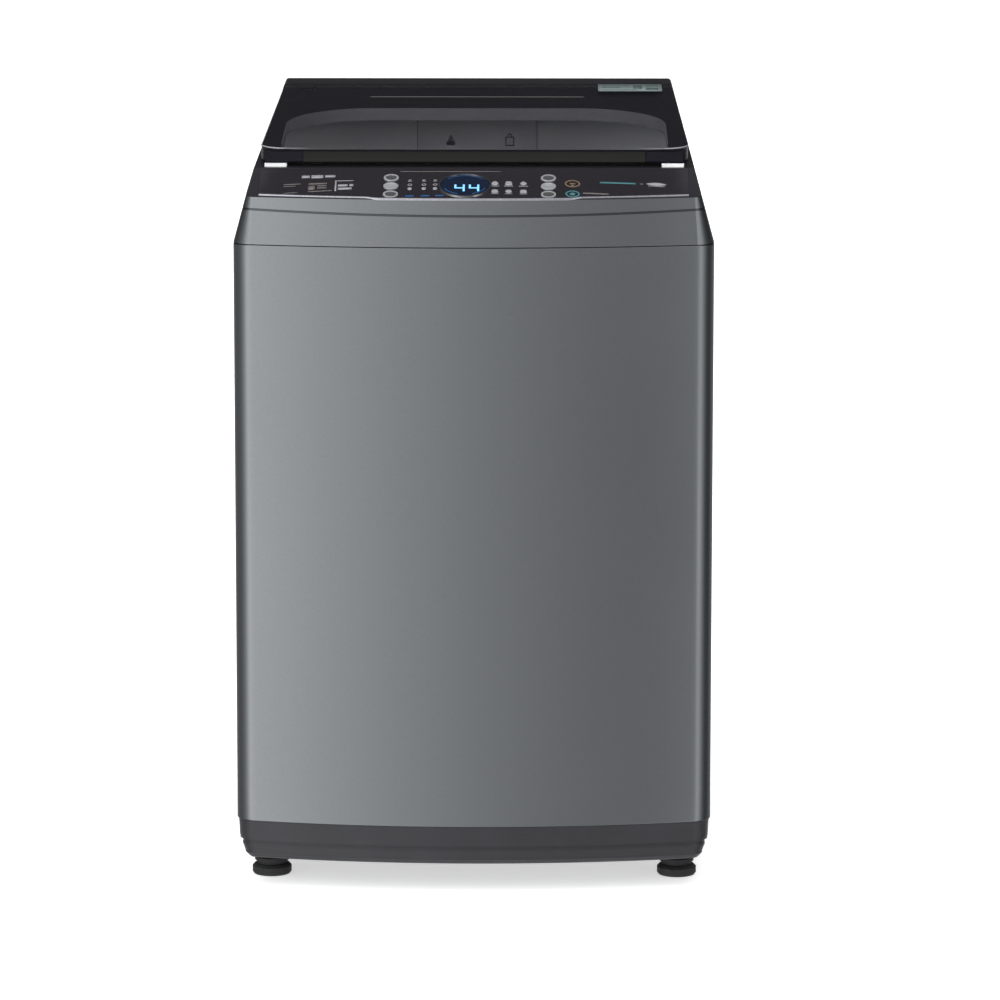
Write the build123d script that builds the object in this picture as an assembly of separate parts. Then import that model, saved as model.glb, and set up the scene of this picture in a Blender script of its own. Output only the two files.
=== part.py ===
from build123d import *
import math
import os

# A top load washing machine: a bowed sheet-steel cabinet on a plastic base with four feet, a plastic
# top cover that narrows upwards and carries the control panel, a glass lid hinged at the back, a
# dispenser drawer, and inside them a tub that hangs on four sprung rods with its basket, pulsator
# and belt drive.  Frame: +Z up, the front looks along -Y, origin on the floor under the middle.

# ------------------------------------------------------------------ driving dimensions, millimetres
WIDTH = 600.0              # across the cabinet's sides
FRONT_Y = -320.0           # foremost point of the bowed front
WRAP_BACK_Y = 296.0        # outer face of the cabinet's rear wall
FITTING_END_Y = 320.0      # where the hose fittings on the back end
FRONT_BOW = 38.0           # how far the front bows out across the width
CORNER_R, REAR_CORNER_R = 28.0, 12.0
SHEET = 1.2                # steel sheet
WALL = 3.0                 # moulded plastic wall
BASE_Z, RIDGE_Z, CABINET_Z, SEAM_Z = 35.0, 60.0, 85.0, 820.0

SIDE_LEAN = 15.2           # degrees that the top cover's sides lean in
COVER_BACK_Y = 298.0
PANEL_Z = 877.0            # where the control panel's slope starts on the front
PANEL_TOP_Y = -215.0       # straight upper edge of the control panel
CREASE_Z, CREASE_WIDTH, CREASE_RISE = 859.0, 2.6, 6.0   # groove across the cover's front
CAP_EDGE_R = 5.0           # rounding along the rear cap's two side edges
LID_FRONT_Y, LID_TOP_Z, LID_SLOPE = -192.0, 931.0, 5.0
LID_THICK, GLASS, LIP_X = 20.0, 4.0, 262.0
LID_BACK_Y, CAP_Y, LID_CORNER_R = 251.4, 256.0, 30.0
HINGE_Y, HINGE_DROP = 242.0, 9.0

MOUTH_X, MOUTH_FRONT_Y, MOUTH_BACK_Y, MOUTH_Z = 248.0, -178.0, 160.0, 862.0
MOUTH_BACK_R, MOUTH_FRONT_R = 140.0, 60.0
WINDOW_X, WINDOW_FRONT_Y, WINDOW_BACK_Y = 244.0, -184.0, 99.0

DRAWER_X, DRAWER_Z0, DRAWER_Z1, DRAWER_DEPTH = 76.0, 872.0, 925.0, 106.0
PLATE_RISE = 7.0           # the drawer's front plate stands this much above its tray

TUB_Y = -10.0              # tub, basket and drive share this vertical axis
TUB_R, TUB_WALL, TUB_Z0, TUB_Z1 = 262.0, 2.5, 240.0, 826.0
DRUM_R, DRUM_SHEET, DRUM_Z0, DRUM_Z1 = 238.0, 1.0, 290.0, 770.0
RING_INNER_R, RING_Z1 = 203.0, 818.0
PULSATOR_R, PULSATOR_Z = 204.0, 271.0

ROD_X, ROD_FRONT_Y, ROD_BACK_Y, ROD_R = 238.0, -226.0, 212.0, 4.0
ROD_Z0, ROD_Z1, BRACKET_Z = 212.0, 806.0, 800.0
LUG_Z0, LUG_Z1 = 322.0, 336.0
SPRING_R, SPRING_WIRE_R, SPRING_TURNS = 13.0, 1.6, 8

PULLEY_Z0, PULLEY_Z1 = 106.0, 124.0
PULLEY_R, MOTOR_PULLEY_R = 85.0, 26.0
BELT_DEPTH, BELT_INSET = 8.0, 1.0
MOTOR_Y = TUB_Y + 158.0
MOTOR_R = 60.0
PLATE_Z0, PLATE_Z1 = 228.2, 231.8

FOOT_X, FOOT_FRONT_Y, FOOT_BACK_Y, FOOT_R = 259.0, -207.0, 236.0, 25.0
STUD_R, STUD_CLEARANCE = 5.0, 0.15

FASCIA_X = 268.0
CONTROLS_X, DIAL_X = -5.0, -11.0   # keys and display sit a little left of the cabinet's middle
BUTTON_X, BUTTON_R, BUTTON_GAP = 98.0, 9.5, 0.4
BUTTON_STEPS = (15.0, 38.0, 61.0)     # up the panel's slope from its lower edge
DIAL_R, DIAL_STEP = 33.0, 43.0
INLET_X, INLET_Z = -200.0, 905.0
OUTLET_X, OUTLET_Y0, OUTLET_Z = -205.0, 262.0, 112.0
CORD_X, CORD_Z = 170.0, 700.0

# ------------------------------------------------------------------ worked out from them
HALF = WIDTH / 2
FRONT_R = (HALF ** 2 + FRONT_BOW ** 2) / (2 * FRONT_BOW)
FRONT_CENTRE_Y = FRONT_Y + FRONT_R
SIDE_SLOPE = math.tan(math.radians(SIDE_LEAN))
PANEL_R = FRONT_R - SIDE_SLOPE * (PANEL_Z - SEAM_Z)
LID_TAN = math.tan(math.radians(LID_SLOPE))
RODS = [(sx * ROD_X, y) for y in (ROD_FRONT_Y, ROD_BACK_Y) for sx in (-1, 1)]


def lid_z(y):
    """Height of the lid's top surface at a depth."""
    return LID_TOP_Z + (y - LID_FRONT_Y) * LID_TAN


HINGE_Z = lid_z(HINGE_Y) - HINGE_DROP
PANEL_TOP_Z = lid_z(PANEL_TOP_Y) - LID_THICK - 1


# ------------------------------------------------------------------ building helpers
def slab(x0, x1, y0, y1, z0, z1):
    """A box between two corners."""
    return Pos((x0 + x1) / 2, (y0 + y1) / 2, (z0 + z1) / 2) * Box(x1 - x0, y1 - y0, z1 - z0)


def post(r, z0, z1, x=0.0, y=TUB_Y):
    """An upright cylinder between two heights."""
    return Pos(x, y, (z0 + z1) / 2) * Cylinder(r, z1 - z0)


def tube(r_out, r_in, z0, z1, x=0.0, y=TUB_Y):
    """An upright pipe between two heights."""
    return post(r_out, z0, z1, x, y) - post(r_in, z0 - 1, z1 + 1, x, y)


def turned(points, x=0.0, y=TUB_Y):
    """A solid turned about the upright line at x, y from (radius, height) corners."""
    wire = Polyline(*[(r, 0, z) for r, z in points], close=True)
    return Pos(x, y, 0) * revolve(make_face(wire), Axis.Z)


def prism(sketch, z0, z1):
    """A sketch in plan, raised between two heights."""
    return extrude(Pos(0, 0, z0) * sketch, z1 - z0)


def outline(inset=0.0, back=WRAP_BACK_Y):
    """The cabinet in plan: straight sides and back, bowed front, rounded corners."""
    half = HALF - inset
    rear = back - inset
    body = Pos(0, FRONT_CENTRE_Y) * Circle(FRONT_R - inset)
    body &= Pos(0, (rear - 500) / 2) * Rectangle(2 * half, rear + 500)
    corners = body.vertices().sort_by(Axis.Y)
    body = fillet(corners[:2], CORNER_R - inset)
    corners = body.vertices().sort_by(Axis.Y)
    return fillet(corners[-2:], max(REAR_CORNER_R - inset, 1.0))


def frustum(inset=0.0, back=COVER_BACK_Y, z0=SEAM_Z, height=170.0):
    """The top cover's block: front and sides lean in, the back stands upright."""
    lean = extrude(Pos(0, 0, z0) * outline(inset + SIDE_SLOPE * (z0 - SEAM_Z), back + 200), height,
                   taper=SIDE_LEAN)
    return lean & slab(-400, 400, -400, back - inset, z0, z0 + height)


def under_lid_plane(drop=0.0):
    """Everything below the lid's top plane lowered by a drop."""
    tilt = Pos(0, LID_FRONT_Y, LID_TOP_Z - drop) * Rot(LID_SLOPE, 0, 0)
    return tilt * Pos(0, 0, -400) * Box(1200, 1600, 800)


def panel_edge(x):
    """Depth of the control panel's bowed lower edge at a side offset."""
    return FRONT_CENTRE_Y - math.sqrt(PANEL_R ** 2 - x ** 2)


def panel_section(z):
    """Level cut through the panel's slope: straight lines join its bowed and its straight edge."""
    share = (z - PANEL_Z) / (PANEL_TOP_Z - PANEL_Z)
    half = HALF + 20
    middle, side = [panel_edge(x) + share * (PANEL_TOP_Y - panel_edge(x)) for x in (0, half)]
    front = ThreePointArc((-half, side), (0, middle), (half, side))
    rest = Polyline((half, side), (half, 400), (-half, 400), (-half, side))
    return Pos(0, 0, z) * make_face(front.edges() + rest.edges())


def under_panel(drop=0.0):
    """Everything behind and below the control panel's slope lowered by a drop."""
    low, high = PANEL_Z - 30, PANEL_TOP_Z + 60
    slope = loft([panel_section(low), panel_section(high)], ruled=True)
    slope += slab(-HALF - 20, HALF + 20, -460, 400, low - 60, low)
    return Pos(0, 0, -drop) * slope


def panel_plane(x, step):
    """A plane on the control panel at a side offset and a distance up its slope, normal outwards."""
    lean = math.atan2(PANEL_TOP_Z - PANEL_Z, PANEL_TOP_Y - panel_edge(x))
    origin = (x, panel_edge(x) + step * math.cos(lean), PANEL_Z + step * math.sin(lean))
    return Plane(origin=origin, x_dir=(1, 0, 0), z_dir=(0, -math.sin(lean), math.cos(lean)))


def mouth(grow=0.0):
    """The wash opening in plan: wide, flat behind, with large rear and smaller front corners."""
    depth = MOUTH_BACK_Y - MOUTH_FRONT_Y + 2 * grow
    shape = Pos(0, (MOUTH_BACK_Y + MOUTH_FRONT_Y) / 2) * Rectangle(2 * (MOUTH_X + grow), depth)
    corners = shape.vertices().sort_by(Axis.Y)
    shape = fillet(corners[:2], MOUTH_FRONT_R + grow)
    corners = shape.vertices().sort_by(Axis.Y)
    return fillet(corners[-2:], MOUTH_BACK_R + grow)


def drill(shape, holes, r, z0, z1):
    """Cuts upright round holes at a list of places."""
    for x, y in holes:
        shape -= post(r, z0, z1, x, y)
    return shape


# ------------------------------------------------------------------ cabinet and base
PANEL_SCREWS = [(sx * 240, z) for z in (116, 285, 449, 613, 782) for sx in (-1, 1)]


def cabinet_wrap():
    """One sheet bent round front, sides and back, with a large service opening in the back."""
    wrap = prism(outline(), CABINET_Z, SEAM_Z) - prism(outline(SHEET), CABINET_Z - 1, SEAM_Z + 1)
    wrap -= slab(-226, 226, WRAP_BACK_Y - 20, WRAP_BACK_Y + 5, 130, 768)
    return wrap - Pos(OUTLET_X, WRAP_BACK_Y, OUTLET_Z) * Rot(90, 0, 0) * Cylinder(14.5, 20)


def rear_panel():
    """Pressed cover for the service opening: a flat border and a raised field with louvres."""
    face = WRAP_BACK_Y + 0.1
    panel = slab(-250, 250, face, face + SHEET, 104, 794)
    panel += slab(-215, 215, face, face + 4.2, 150, 750)
    panel -= slab(-215 + SHEET, 215 - SHEET, face - 1, face + 4.2 - SHEET, 150 + SHEET, 750 - SHEET)
    for row in range(8):
        z = 190 + 14 * row
        for side in (-1, 1):
            panel -= slab(side * 110 - 60, side * 110 + 60, face - 1, face + 6, z, z + 4)
    for x, z in PANEL_SCREWS:
        panel -= Pos(x, face, z) * Rot(90, 0, 0) * Cylinder(2.4, 12)
    panel -= Pos(OUTLET_X, face, OUTLET_Z) * Rot(90, 0, 0) * Cylinder(14.5, 30)
    return panel - Pos(CORD_X, face, CORD_Z) * Rot(90, 0, 0) * Cylinder(11.0, 30)


def rear_panel_screws():
    """Ten pan-head screws that hold the rear panel."""
    face = WRAP_BACK_Y + 0.1 + SHEET
    screws = []
    for x, z in PANEL_SCREWS:
        place = Pos(x, face, z) * Rot(-90, 0, 0)
        screw = place * Pos(0, 0, 1.2) * Cylinder(4.2, 2.4)
        screw -= place * Pos(0, 0, 2.2) * Box(5.0, 1.0, 1.0)
        screw -= place * Pos(0, 0, 2.2) * Box(1.0, 5.0, 1.0)
        screws.append(screw)
    return Compound(children=screws)


def base_frame():
    """Moulded base: two leaning bands outside, a lip that goes into the cabinet, bosses for the feet."""
    grow = extrude(Pos(0, 0, BASE_Z) * outline(16), 6, taper=-45)
    grow += extrude(Pos(0, 0, BASE_Z + 6) * outline(10), RIDGE_Z - BASE_Z - 6, taper=-9)
    grow += extrude(Pos(0, 0, RIDGE_Z) * outline(3.5), CABINET_Z - 0.3 - RIDGE_Z, taper=-4)
    hollow = prism(outline(22), BASE_Z + 4, RIDGE_Z + 1) + prism(outline(8), RIDGE_Z + 1, CABINET_Z + 1)
    base = grow - hollow
    base += prism(outline(SHEET + 0.4), CABINET_Z - 0.3, 96) - prism(outline(5.0), CABINET_Z - 2, 97)
    base -= prism(Pos(0, -12) * RectangleRounded(390, 420, 40), BASE_Z - 5, BASE_Z + 10)
    for sx in (-1, 1):
        for y in (FOOT_FRONT_Y, FOOT_BACK_Y):
            base += post(24, BASE_Z + 0.5, 66, sx * FOOT_X, y)
            base += slab(sx * (FOOT_X + 12) - 14, sx * (FOOT_X + 12) + 14, y - 4, y + 4, BASE_Z + 1, 64)
    keep = prism(outline(SHEET + 0.4), BASE_Z - 1, 100)
    base &= keep
    feet = [(sx * FOOT_X, FOOT_FRONT_Y) for sx in (-1, 1)]
    base = drill(base, feet, STUD_R + STUD_CLEARANCE, 20, 90)
    return drill(base, [(sx * FOOT_X, FOOT_BACK_Y) for sx in (-1, 1)], 4.0, 20, 60)


def base_guard():
    """Slotted sheet that closes the base from below."""
    guard = Pos(0, -12, BASE_Z + 4.1) * extrude(RectangleRounded(410, 436, 30), 1.5)
    for column in (-1, 1):
        for row in range(9):
            y = -12 - 160 + 40 * row
            guard -= slab(column * 95 - 70, column * 95 + 70, y - 6, y + 6, BASE_Z, BASE_Z + 10)
    return guard


def foot_pad(x, y):
    """Rubber pad with a blind seat for its stud, a waist and a wide foot."""
    profile = [(0, 0), (FOOT_R - 2, 0), (FOOT_R, 2.5), (FOOT_R, 10), (FOOT_R - 3, 13), (FOOT_R - 6, 14),
               (FOOT_R - 6, 17), (FOOT_R - 3, 18), (FOOT_R - 3, 22), (STUD_R, 22), (STUD_R, 6), (0, 6)]
    return turned(profile, x, y)


def foot_stud(x, y):
    """Threaded stud, drawn plain, from the pad up through the base's boss."""
    stud = post(STUD_R, 6, 84, x, y)
    return stud - slab(x - 0.8, x + 0.8, y - 8, y + 8, 81, 85)


def rear_feet():
    """Two fixed rubber feet pushed into the base from below."""
    profile = [(0, 0), (20, 0), (22, 2.5), (22, 12), (19, 15), (17, BASE_Z),
               (3.9, BASE_Z), (3.9, 55), (0, 55)]
    return Compound(children=[turned(profile, sx * FOOT_X, FOOT_BACK_Y) for sx in (-1, 1)])


# ------------------------------------------------------------------ top cover
def gutter(grow=0.0):
    """The trough for the hinge, across the cover in front of its rear cap."""
    drop = LID_THICK + 1 + 8 + grow
    block = slab(-400, 400, 226 - grow, CAP_Y + grow, 800, 1100)
    return block - under_lid_plane(drop)


def cover_block(inset):
    """The cover's outer form, or the same form moved in by a wall."""
    field = frustum(inset) & under_panel(inset) & under_lid_plane(LID_THICK + 1 + inset)
    cap = frustum(inset) & under_lid_plane(inset) & slab(-400, 400, CAP_Y + inset, 400, 800, 1100)
    if inset == 0:
        ridges = [e for e in cap.edges() if abs(e.center().X) > 200 and e.center().Z > 900
                  and abs((e % 0.5).Y) > 0.9]
        cap = fillet(ridges, CAP_EDGE_R)
    return field - gutter(inset) + cap


def crease():
    """The groove across the cover's front, lower in the middle than at the ends."""
    end, top, low = HALF + 10, CREASE_Z, CREASE_Z - CREASE_WIDTH
    upper = ThreePointArc((-end, top + CREASE_RISE), (0, top), (end, top + CREASE_RISE))
    lower = ThreePointArc((end, low + CREASE_RISE), (0, low), (-end, low + CREASE_RISE))
    right = Polyline((end, top + CREASE_RISE), (end, low + CREASE_RISE), close=False)
    left = Polyline((-end, low + CREASE_RISE), (-end, top + CREASE_RISE))
    band = Plane.XZ * make_face(upper.edges() + right.edges() + lower.edges() + left.edges())
    cutter = Pos(0, -220, 0) * extrude(band, 130)
    return cutter - frustum(1.0, back=600)


def fascia_plan(grow=0.0):
    """The control panel in plan: bowed in front, straight behind, deeper in its middle."""
    def band(margin, half):
        depth = PANEL_TOP_Y - 1.5 + grow - FRONT_Y
        strip = Pos(0, FRONT_Y + depth / 2) * Rectangle(2 * (half + grow), depth)
        return strip & (Pos(0, FRONT_CENTRE_Y) * Circle(PANEL_R - margin + grow))
    return band(9, FASCIA_X) + band(3.5, 127)


def fascia_skin(grow, drop):
    """The slope between its surface and a depth below it, within the panel's plan."""
    return (prism(fascia_plan(grow), 840, 940) & under_panel()) - under_panel(drop)


def top_cover():
    """Moulded cover: leaning front and sides, panel recess, mouth with its collar, rear cap, hinge ears."""
    cover = cover_block(0) - (cover_block(WALL) + prism(outline(WALL), SEAM_Z - 1, SEAM_Z))
    collar = (prism(mouth(WALL), MOUTH_Z, 960) & under_lid_plane(LID_THICK + 1))
    cover += collar
    cover -= prism(mouth(), 830, 1000)
    cover -= fascia_skin(0.25, 2.2)
    cover -= crease()
    for x, step in button_places():
        cover -= panel_plane(x, step) * Cylinder(BUTTON_R + BUTTON_GAP, 30)
    cover -= slab(-DRAWER_X - 3.4, DRAWER_X + 3.4, MOUTH_BACK_Y - 20, MOUTH_BACK_Y + 20,
                  DRAWER_Z0 - 3.4, DRAWER_Z1 + PLATE_RISE + 0.8)
    cover -= Pos(INLET_X, COVER_BACK_Y, INLET_Z) * Rot(90, 0, 0) * Cylinder(15, 20)
    for side in (-1, 1):
        ear = slab(side * 222 - 4, side * 222 + 4, HINGE_Y - 8, HINGE_Y + 8, HINGE_Z - 26, HINGE_Z)
        ear += Pos(side * 222, HINGE_Y, HINGE_Z) * Rot(0, 90, 0) * Cylinder(8, 8)
        cover += ear - Pos(side * 222, HINGE_Y, HINGE_Z) * Rot(0, 90, 0) * Cylinder(4.05, 20)
    return cover


def button_places():
    """Side offset and slope distance of the six round buttons, left column first."""
    return [(CONTROLS_X + sx * BUTTON_X, step) for sx in (-1, 1) for step in BUTTON_STEPS]


def control_fascia():
    """The black panel set in the cover's slope, with holes for the buttons and the dial window."""
    fascia = fascia_skin(0, 2.0)
    for x, step in button_places():
        fascia -= panel_plane(x, step) * Cylinder(BUTTON_R + BUTTON_GAP, 30)
    return fascia - panel_plane(DIAL_X, DIAL_STEP) * Cylinder(DIAL_R + 0.2, 30)


def button(x, step):
    """A round key with a dished face and a stem that reaches the circuit board's switch."""
    key = Pos(0, 0, -2.2) * Cylinder(BUTTON_R, 7.0)
    key = chamfer(key.edges().group_by(Axis.Z)[-1], 0.8)
    key -= Pos(0, 0, 41.0) * Sphere(40.5)
    key += Pos(0, 0, -7.2) * Cylinder(2.5, 3.0)
    return panel_plane(x, step) * key


def display_window():
    """Round lens of the display, just proud of the panel."""
    lens = Pos(0, 0, -0.7) * Cylinder(DIAL_R - 2.2, 2.6)
    return panel_plane(DIAL_X, DIAL_STEP) * chamfer(lens.edges().group_by(Axis.Z)[-1], 0.5)


def dial_ring():
    """Bright bezel round the display."""
    ring = Pos(0, 0, -0.4) * (Cylinder(DIAL_R, 3.2) - Cylinder(DIAL_R - 2.1, 4))
    return panel_plane(DIAL_X, DIAL_STEP) * ring


def trim_strip():
    """Bright bead along the panel's front edge, stepping forward in the middle."""
    band = fascia_plan(2.8) - fascia_plan(0.3)
    band &= Pos(0, FRONT_Y - 40) * Rectangle(2 * 262, 200)
    front = Pos(0, FRONT_CENTRE_Y) * Circle(PANEL_R - 20)
    band -= front
    return (prism(band, 840, 940) & under_panel(-0.9)) - under_panel()


def control_board():
    """Circuit board with its carrier, under the panel."""
    board = slab(-190, 190, -284, -205, 854, 856)
    board += slab(-45, 45, -276, -225, 856, 868)
    for x in (-160, -130, 130, 160):
        board += slab(x - 10, x + 10, -275, -255, 856, 866)
    return board


def lid_bumpers():
    """Two pale buffers on the cover that the lid's front corners come down on."""
    pads = []
    for side in (-1, 1):
        x, y = side * 249.0, -206.0
        top = lid_z(y) - LID_THICK - 1
        pad = slab(x - 14, x + 14, y - 4.5, y + 4.5, top - 3, top + 3.8)
        pad = fillet(pad.edges().filter_by(Axis.Z), 2.0)
        pads.append(pad - under_lid_plane(LID_THICK + 1))
    return Compound(children=pads)


# ------------------------------------------------------------------ dispenser
def dispenser_housing():
    """Box behind the mouth that the drawer slides in, with a water chamber above it."""
    x, back = DRAWER_X + 3.0, MOUTH_BACK_Y + 3.5 + DRAWER_DEPTH + 4
    box = slab(-x, x, MOUTH_BACK_Y + 3.2, back, DRAWER_Z0 - 3.0, DRAWER_Z1 + 5.0)
    box -= slab(-x + 2.4, x - 2.4, MOUTH_BACK_Y, back - 2.4, DRAWER_Z0 - 0.6, DRAWER_Z1 + 2.6)
    for column in range(6):
        box -= post(2.0, DRAWER_Z0 - 5, DRAWER_Z0, -60 + 24 * column, back - 30)
    spigot = Pos(-x - 6, back - 25, DRAWER_Z1 - 8) * Rot(0, 90, 0) * (Cylinder(7, 14) - Cylinder(5, 16))
    return box + spigot - Pos(-x, back - 25, DRAWER_Z1 - 8) * Rot(0, 90, 0) * Cylinder(5, 12)


def dispenser_drawer():
    """Tray with two compartments."""
    x, y0 = DRAWER_X - 0.6, MOUTH_BACK_Y + 2.2
    tray = slab(-x, x, y0, y0 + DRAWER_DEPTH, DRAWER_Z0, DRAWER_Z1)
    for x0, x1 in ((-x + 2, -2), (2, x - 2)):
        tray -= slab(x0, x1, y0 + 2, y0 + DRAWER_DEPTH - 2, DRAWER_Z0 + 2, DRAWER_Z1 + 1)
    tray -= slab(-x + 10, -12, y0 + DRAWER_DEPTH - 5, y0 + DRAWER_DEPTH + 1, DRAWER_Z0 + 6, DRAWER_Z0 + 12)
    return tray


def drawer_front():
    """Handle plate of the drawer, with a finger groove underneath."""
    plate = slab(-DRAWER_X - 2.6, DRAWER_X + 2.6, MOUTH_BACK_Y - 3.8, MOUTH_BACK_Y + 2.0,
                 DRAWER_Z0 - 2.6, DRAWER_Z1 + PLATE_RISE)
    plate = fillet(plate.edges().filter_by(Axis.Y), 5.0)
    plate = fillet(plate.faces().sort_by(Axis.Y)[0].edges(), 1.2)
    return plate - slab(-34, 34, MOUTH_BACK_Y - 1.6, MOUTH_BACK_Y + 5, DRAWER_Z0 - 5, DRAWER_Z0 + 5)


def siphon_cap():
    """Softener siphon cap in the right-hand compartment."""
    y = MOUTH_BACK_Y + 2.2 + DRAWER_DEPTH - 30
    cap = slab(14, 66, y - 18, y + 18, DRAWER_Z0 + 30, DRAWER_Z0 + 33)
    return cap + post(7, DRAWER_Z0 + 6, DRAWER_Z0 + 38, 40, y)


def inlet_valve():
    """Solenoid valve with a threaded G3/4 nipple, drawn plain, that stands out of the back."""
    place = Pos(INLET_X, 0, INLET_Z) * Rot(-90, 0, 0)
    valve = place * Pos(0, 0, (FITTING_END_Y + 270) / 2) * Cylinder(13.2, FITTING_END_Y - 270)
    valve += slab(INLET_X - 20, INLET_X + 20, 236, 276, INLET_Z - 20, INLET_Z + 14)
    valve += post(13, INLET_Z - 48, INLET_Z - 20, INLET_X, 256)
    valve += Pos(INLET_X + 26, 250, INLET_Z) * Rot(0, 90, 0) * Cylinder(7, 14)
    return valve - place * Pos(0, 0, (FITTING_END_Y + 290) / 2) * Cylinder(9.0, FITTING_END_Y - 288)


def inlet_hose():
    """Short rubber hose from the valve to the dispenser, clipped at both ends."""
    x0, y0, z0 = INLET_X + 33.2, 250.0, INLET_Z
    x1, y1, z1 = -DRAWER_X - 3 - 13.2, MOUTH_BACK_Y + 3.5 + DRAWER_DEPTH + 4 - 25, DRAWER_Z1 - 8
    path = FilletPolyline((x0, y0, z0), (x0 + 22, y0, z0), (x1 - 18, y1, z1), (x1, y1, z1), radius=12)
    ring = Plane(origin=(x0, y0, z0), z_dir=(1, 0, 0)) * (Circle(7.0) - Circle(4.6))
    return sweep(ring, path)


# ------------------------------------------------------------------ lid
def lid_plan(edge=0.0):
    """The lid in plan: rounded front corners, straight back."""
    half = HALF - SIDE_SLOPE * (LID_TOP_Z - SEAM_Z) - edge
    depth = LID_BACK_Y - LID_FRONT_Y - edge
    shape = Pos(0, LID_BACK_Y - depth / 2) * Rectangle(2 * half, depth)
    return fillet(shape.vertices().sort_by(Axis.Y)[:2], LID_CORNER_R)


def lid_slab(top_drop, bottom_drop, edge=0.0):
    """A layer of the lid between two depths below its top surface."""
    layer = frustum(edge, back=COVER_BACK_Y) & under_lid_plane(top_drop)
    layer -= under_lid_plane(bottom_drop)
    return layer & prism(lid_plan(edge), 800, 1100)


def lid_window():
    """The clear part of the lid in plan."""
    depth, middle = WINDOW_BACK_Y - WINDOW_FRONT_Y, (WINDOW_BACK_Y + WINDOW_FRONT_Y) / 2
    shape = Pos(0, middle) * Rectangle(2 * WINDOW_X, depth)
    corners = shape.vertices().sort_by(Axis.Y)
    shape = fillet(corners[:2], 20)
    corners = shape.vertices().sort_by(Axis.Y)
    return fillet(corners[-2:], 112)


def hinge_notches(block):
    """Room for the cover's hinge ears and dampers at the lid's back corners."""
    for side in (-1, 1):
        block -= slab(side * 227.5 - 10.5, side * 227.5 + 10.5, HINGE_Y - 16, 400, 800, 1100)
    return block


def lid_lip():
    """Section of the sloped front lip, drawn along X over the lid's width."""
    y, top = LID_FRONT_Y, LID_TOP_Z - GLASS - 0.4
    section = Polyline((0, y + 3, top), (0, y - 3, top - 1), (0, y - 13, top - 11.5), (0, y - 12, top - 13.2),
                       (0, y + 3, top - 13.2), close=True)
    return Pos(-300, 0, 0) * extrude(make_face(section), 600, dir=(1, 0, 0))


def lid_frame():
    """Moulded under-frame of the lid with its window opening and front lip."""
    frame = lid_slab(GLASS + 0.2, LID_THICK, 0.8) - prism(lid_window(), 800, 1100)
    frame += lid_lip() & prism(Rectangle(2 * LIP_X, 900), 800, 1100)
    frame = hinge_notches(frame)
    frame -= slab(-215.2, 215.2, LID_FRONT_Y - 20, LID_FRONT_Y - 2.0, 800, 1100)
    for side in (-1, 1):
        frame -= Pos(side * 215, HINGE_Y, HINGE_Z) * Rot(0, 90, 0) * Cylinder(4.0, 22)
    return frame


def lid_glass():
    """One tinted pane over the whole lid."""
    return hinge_notches(lid_slab(0, GLASS, 0))


def lid_handle():
    """Concave grip strip along the middle of the lid's front."""
    grip = lid_lip() & slab(-214.8, 214.8, LID_FRONT_Y - 30, LID_FRONT_Y - 2.2, 800, 1100)
    y, top = LID_FRONT_Y, LID_TOP_Z
    scoop = Pos(0, y - 30, top - 2) * Rot(0, 90, 0) * Cylinder(22.5, 400)
    return grip - scoop


def hinge_pins():
    """Steel pins at the lid's back corners."""
    return Compound(children=[Pos(side * 215.5, HINGE_Y, HINGE_Z) * Rot(0, 90, 0) * Cylinder(4.0, 21)
                              for side in (-1, 1)])


# ------------------------------------------------------------------ suspension
def corner_brackets():
    """Plates across the cabinet's top corners that the rods hang from."""
    inside = prism(outline(SHEET + 0.1), BRACKET_Z - 3, BRACKET_Z)
    plates = []
    for x, y in RODS:
        sx, sy = (1 if x > 0 else -1), (1 if y > 0 else -1)
        block = slab(*sorted((sx * 212, sx * 320)), *sorted((y - sy * 22, y + sy * 200)), 700, 900)
        plates.append((inside & block) - post(9.0, 700, 900, x, y))
    return Compound(children=plates)


def suspension_rods():
    """Four steel rods, each with a head at the top."""
    rods = []
    for x, y in RODS:
        rods.append(post(ROD_R, ROD_Z0, ROD_Z1 + 6, x, y) + post(7.0, ROD_Z1 + 6, ROD_Z1 + 10, x, y))
    return Compound(children=rods)


def rod_ball_seats():
    """Plastic half balls that let the rods swing in their brackets."""
    seats = []
    for x, y in RODS:
        half_ball = Pos(x, y, BRACKET_Z + 12) * Sphere(14)
        half_ball &= slab(-400, 400, -400, 400, BRACKET_Z, BRACKET_Z + 12)
        seats.append(half_ball - post(ROD_R, 700, 900, x, y))
    return Compound(children=seats)


def spring_seats():
    """Caps fixed to the rods' lower ends, under the springs."""
    profile = [(ROD_R, ROD_Z0 + 1), (18, ROD_Z0 + 1), (18, ROD_Z0 + 9), (16, ROD_Z0 + 9), (16, ROD_Z0 + 4),
               (ROD_R, ROD_Z0 + 4)]
    return Compound(children=[turned(profile, x, y) for x, y in RODS])


def suspension_springs():
    """Four coil springs between the rods' caps and the tub's lugs."""
    z0, z1 = ROD_Z0 + 4.2 + SPRING_WIRE_R, LUG_Z0 - 4.2 - SPRING_WIRE_R
    path = Helix(pitch=(z1 - z0) / SPRING_TURNS, height=z1 - z0, radius=SPRING_R)
    section = Plane(origin=path @ 0, z_dir=path % 0) * Circle(SPRING_WIRE_R)
    spring = sweep(section, path)
    return Compound(children=[Pos(x, y, z0) * spring for x, y in RODS])


def damper_cups():
    """Plastic cups in the tub's lugs that slide on the rods."""
    bore = ROD_R + 0.25
    profile = [(bore, LUG_Z0 - 4), (19, LUG_Z0 - 4), (19, LUG_Z0), (14.9, LUG_Z0), (14.9, LUG_Z1 + 10),
               (bore, LUG_Z1 + 10)]
    return Compound(children=[turned(profile, x, y) for x, y in RODS])


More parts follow.
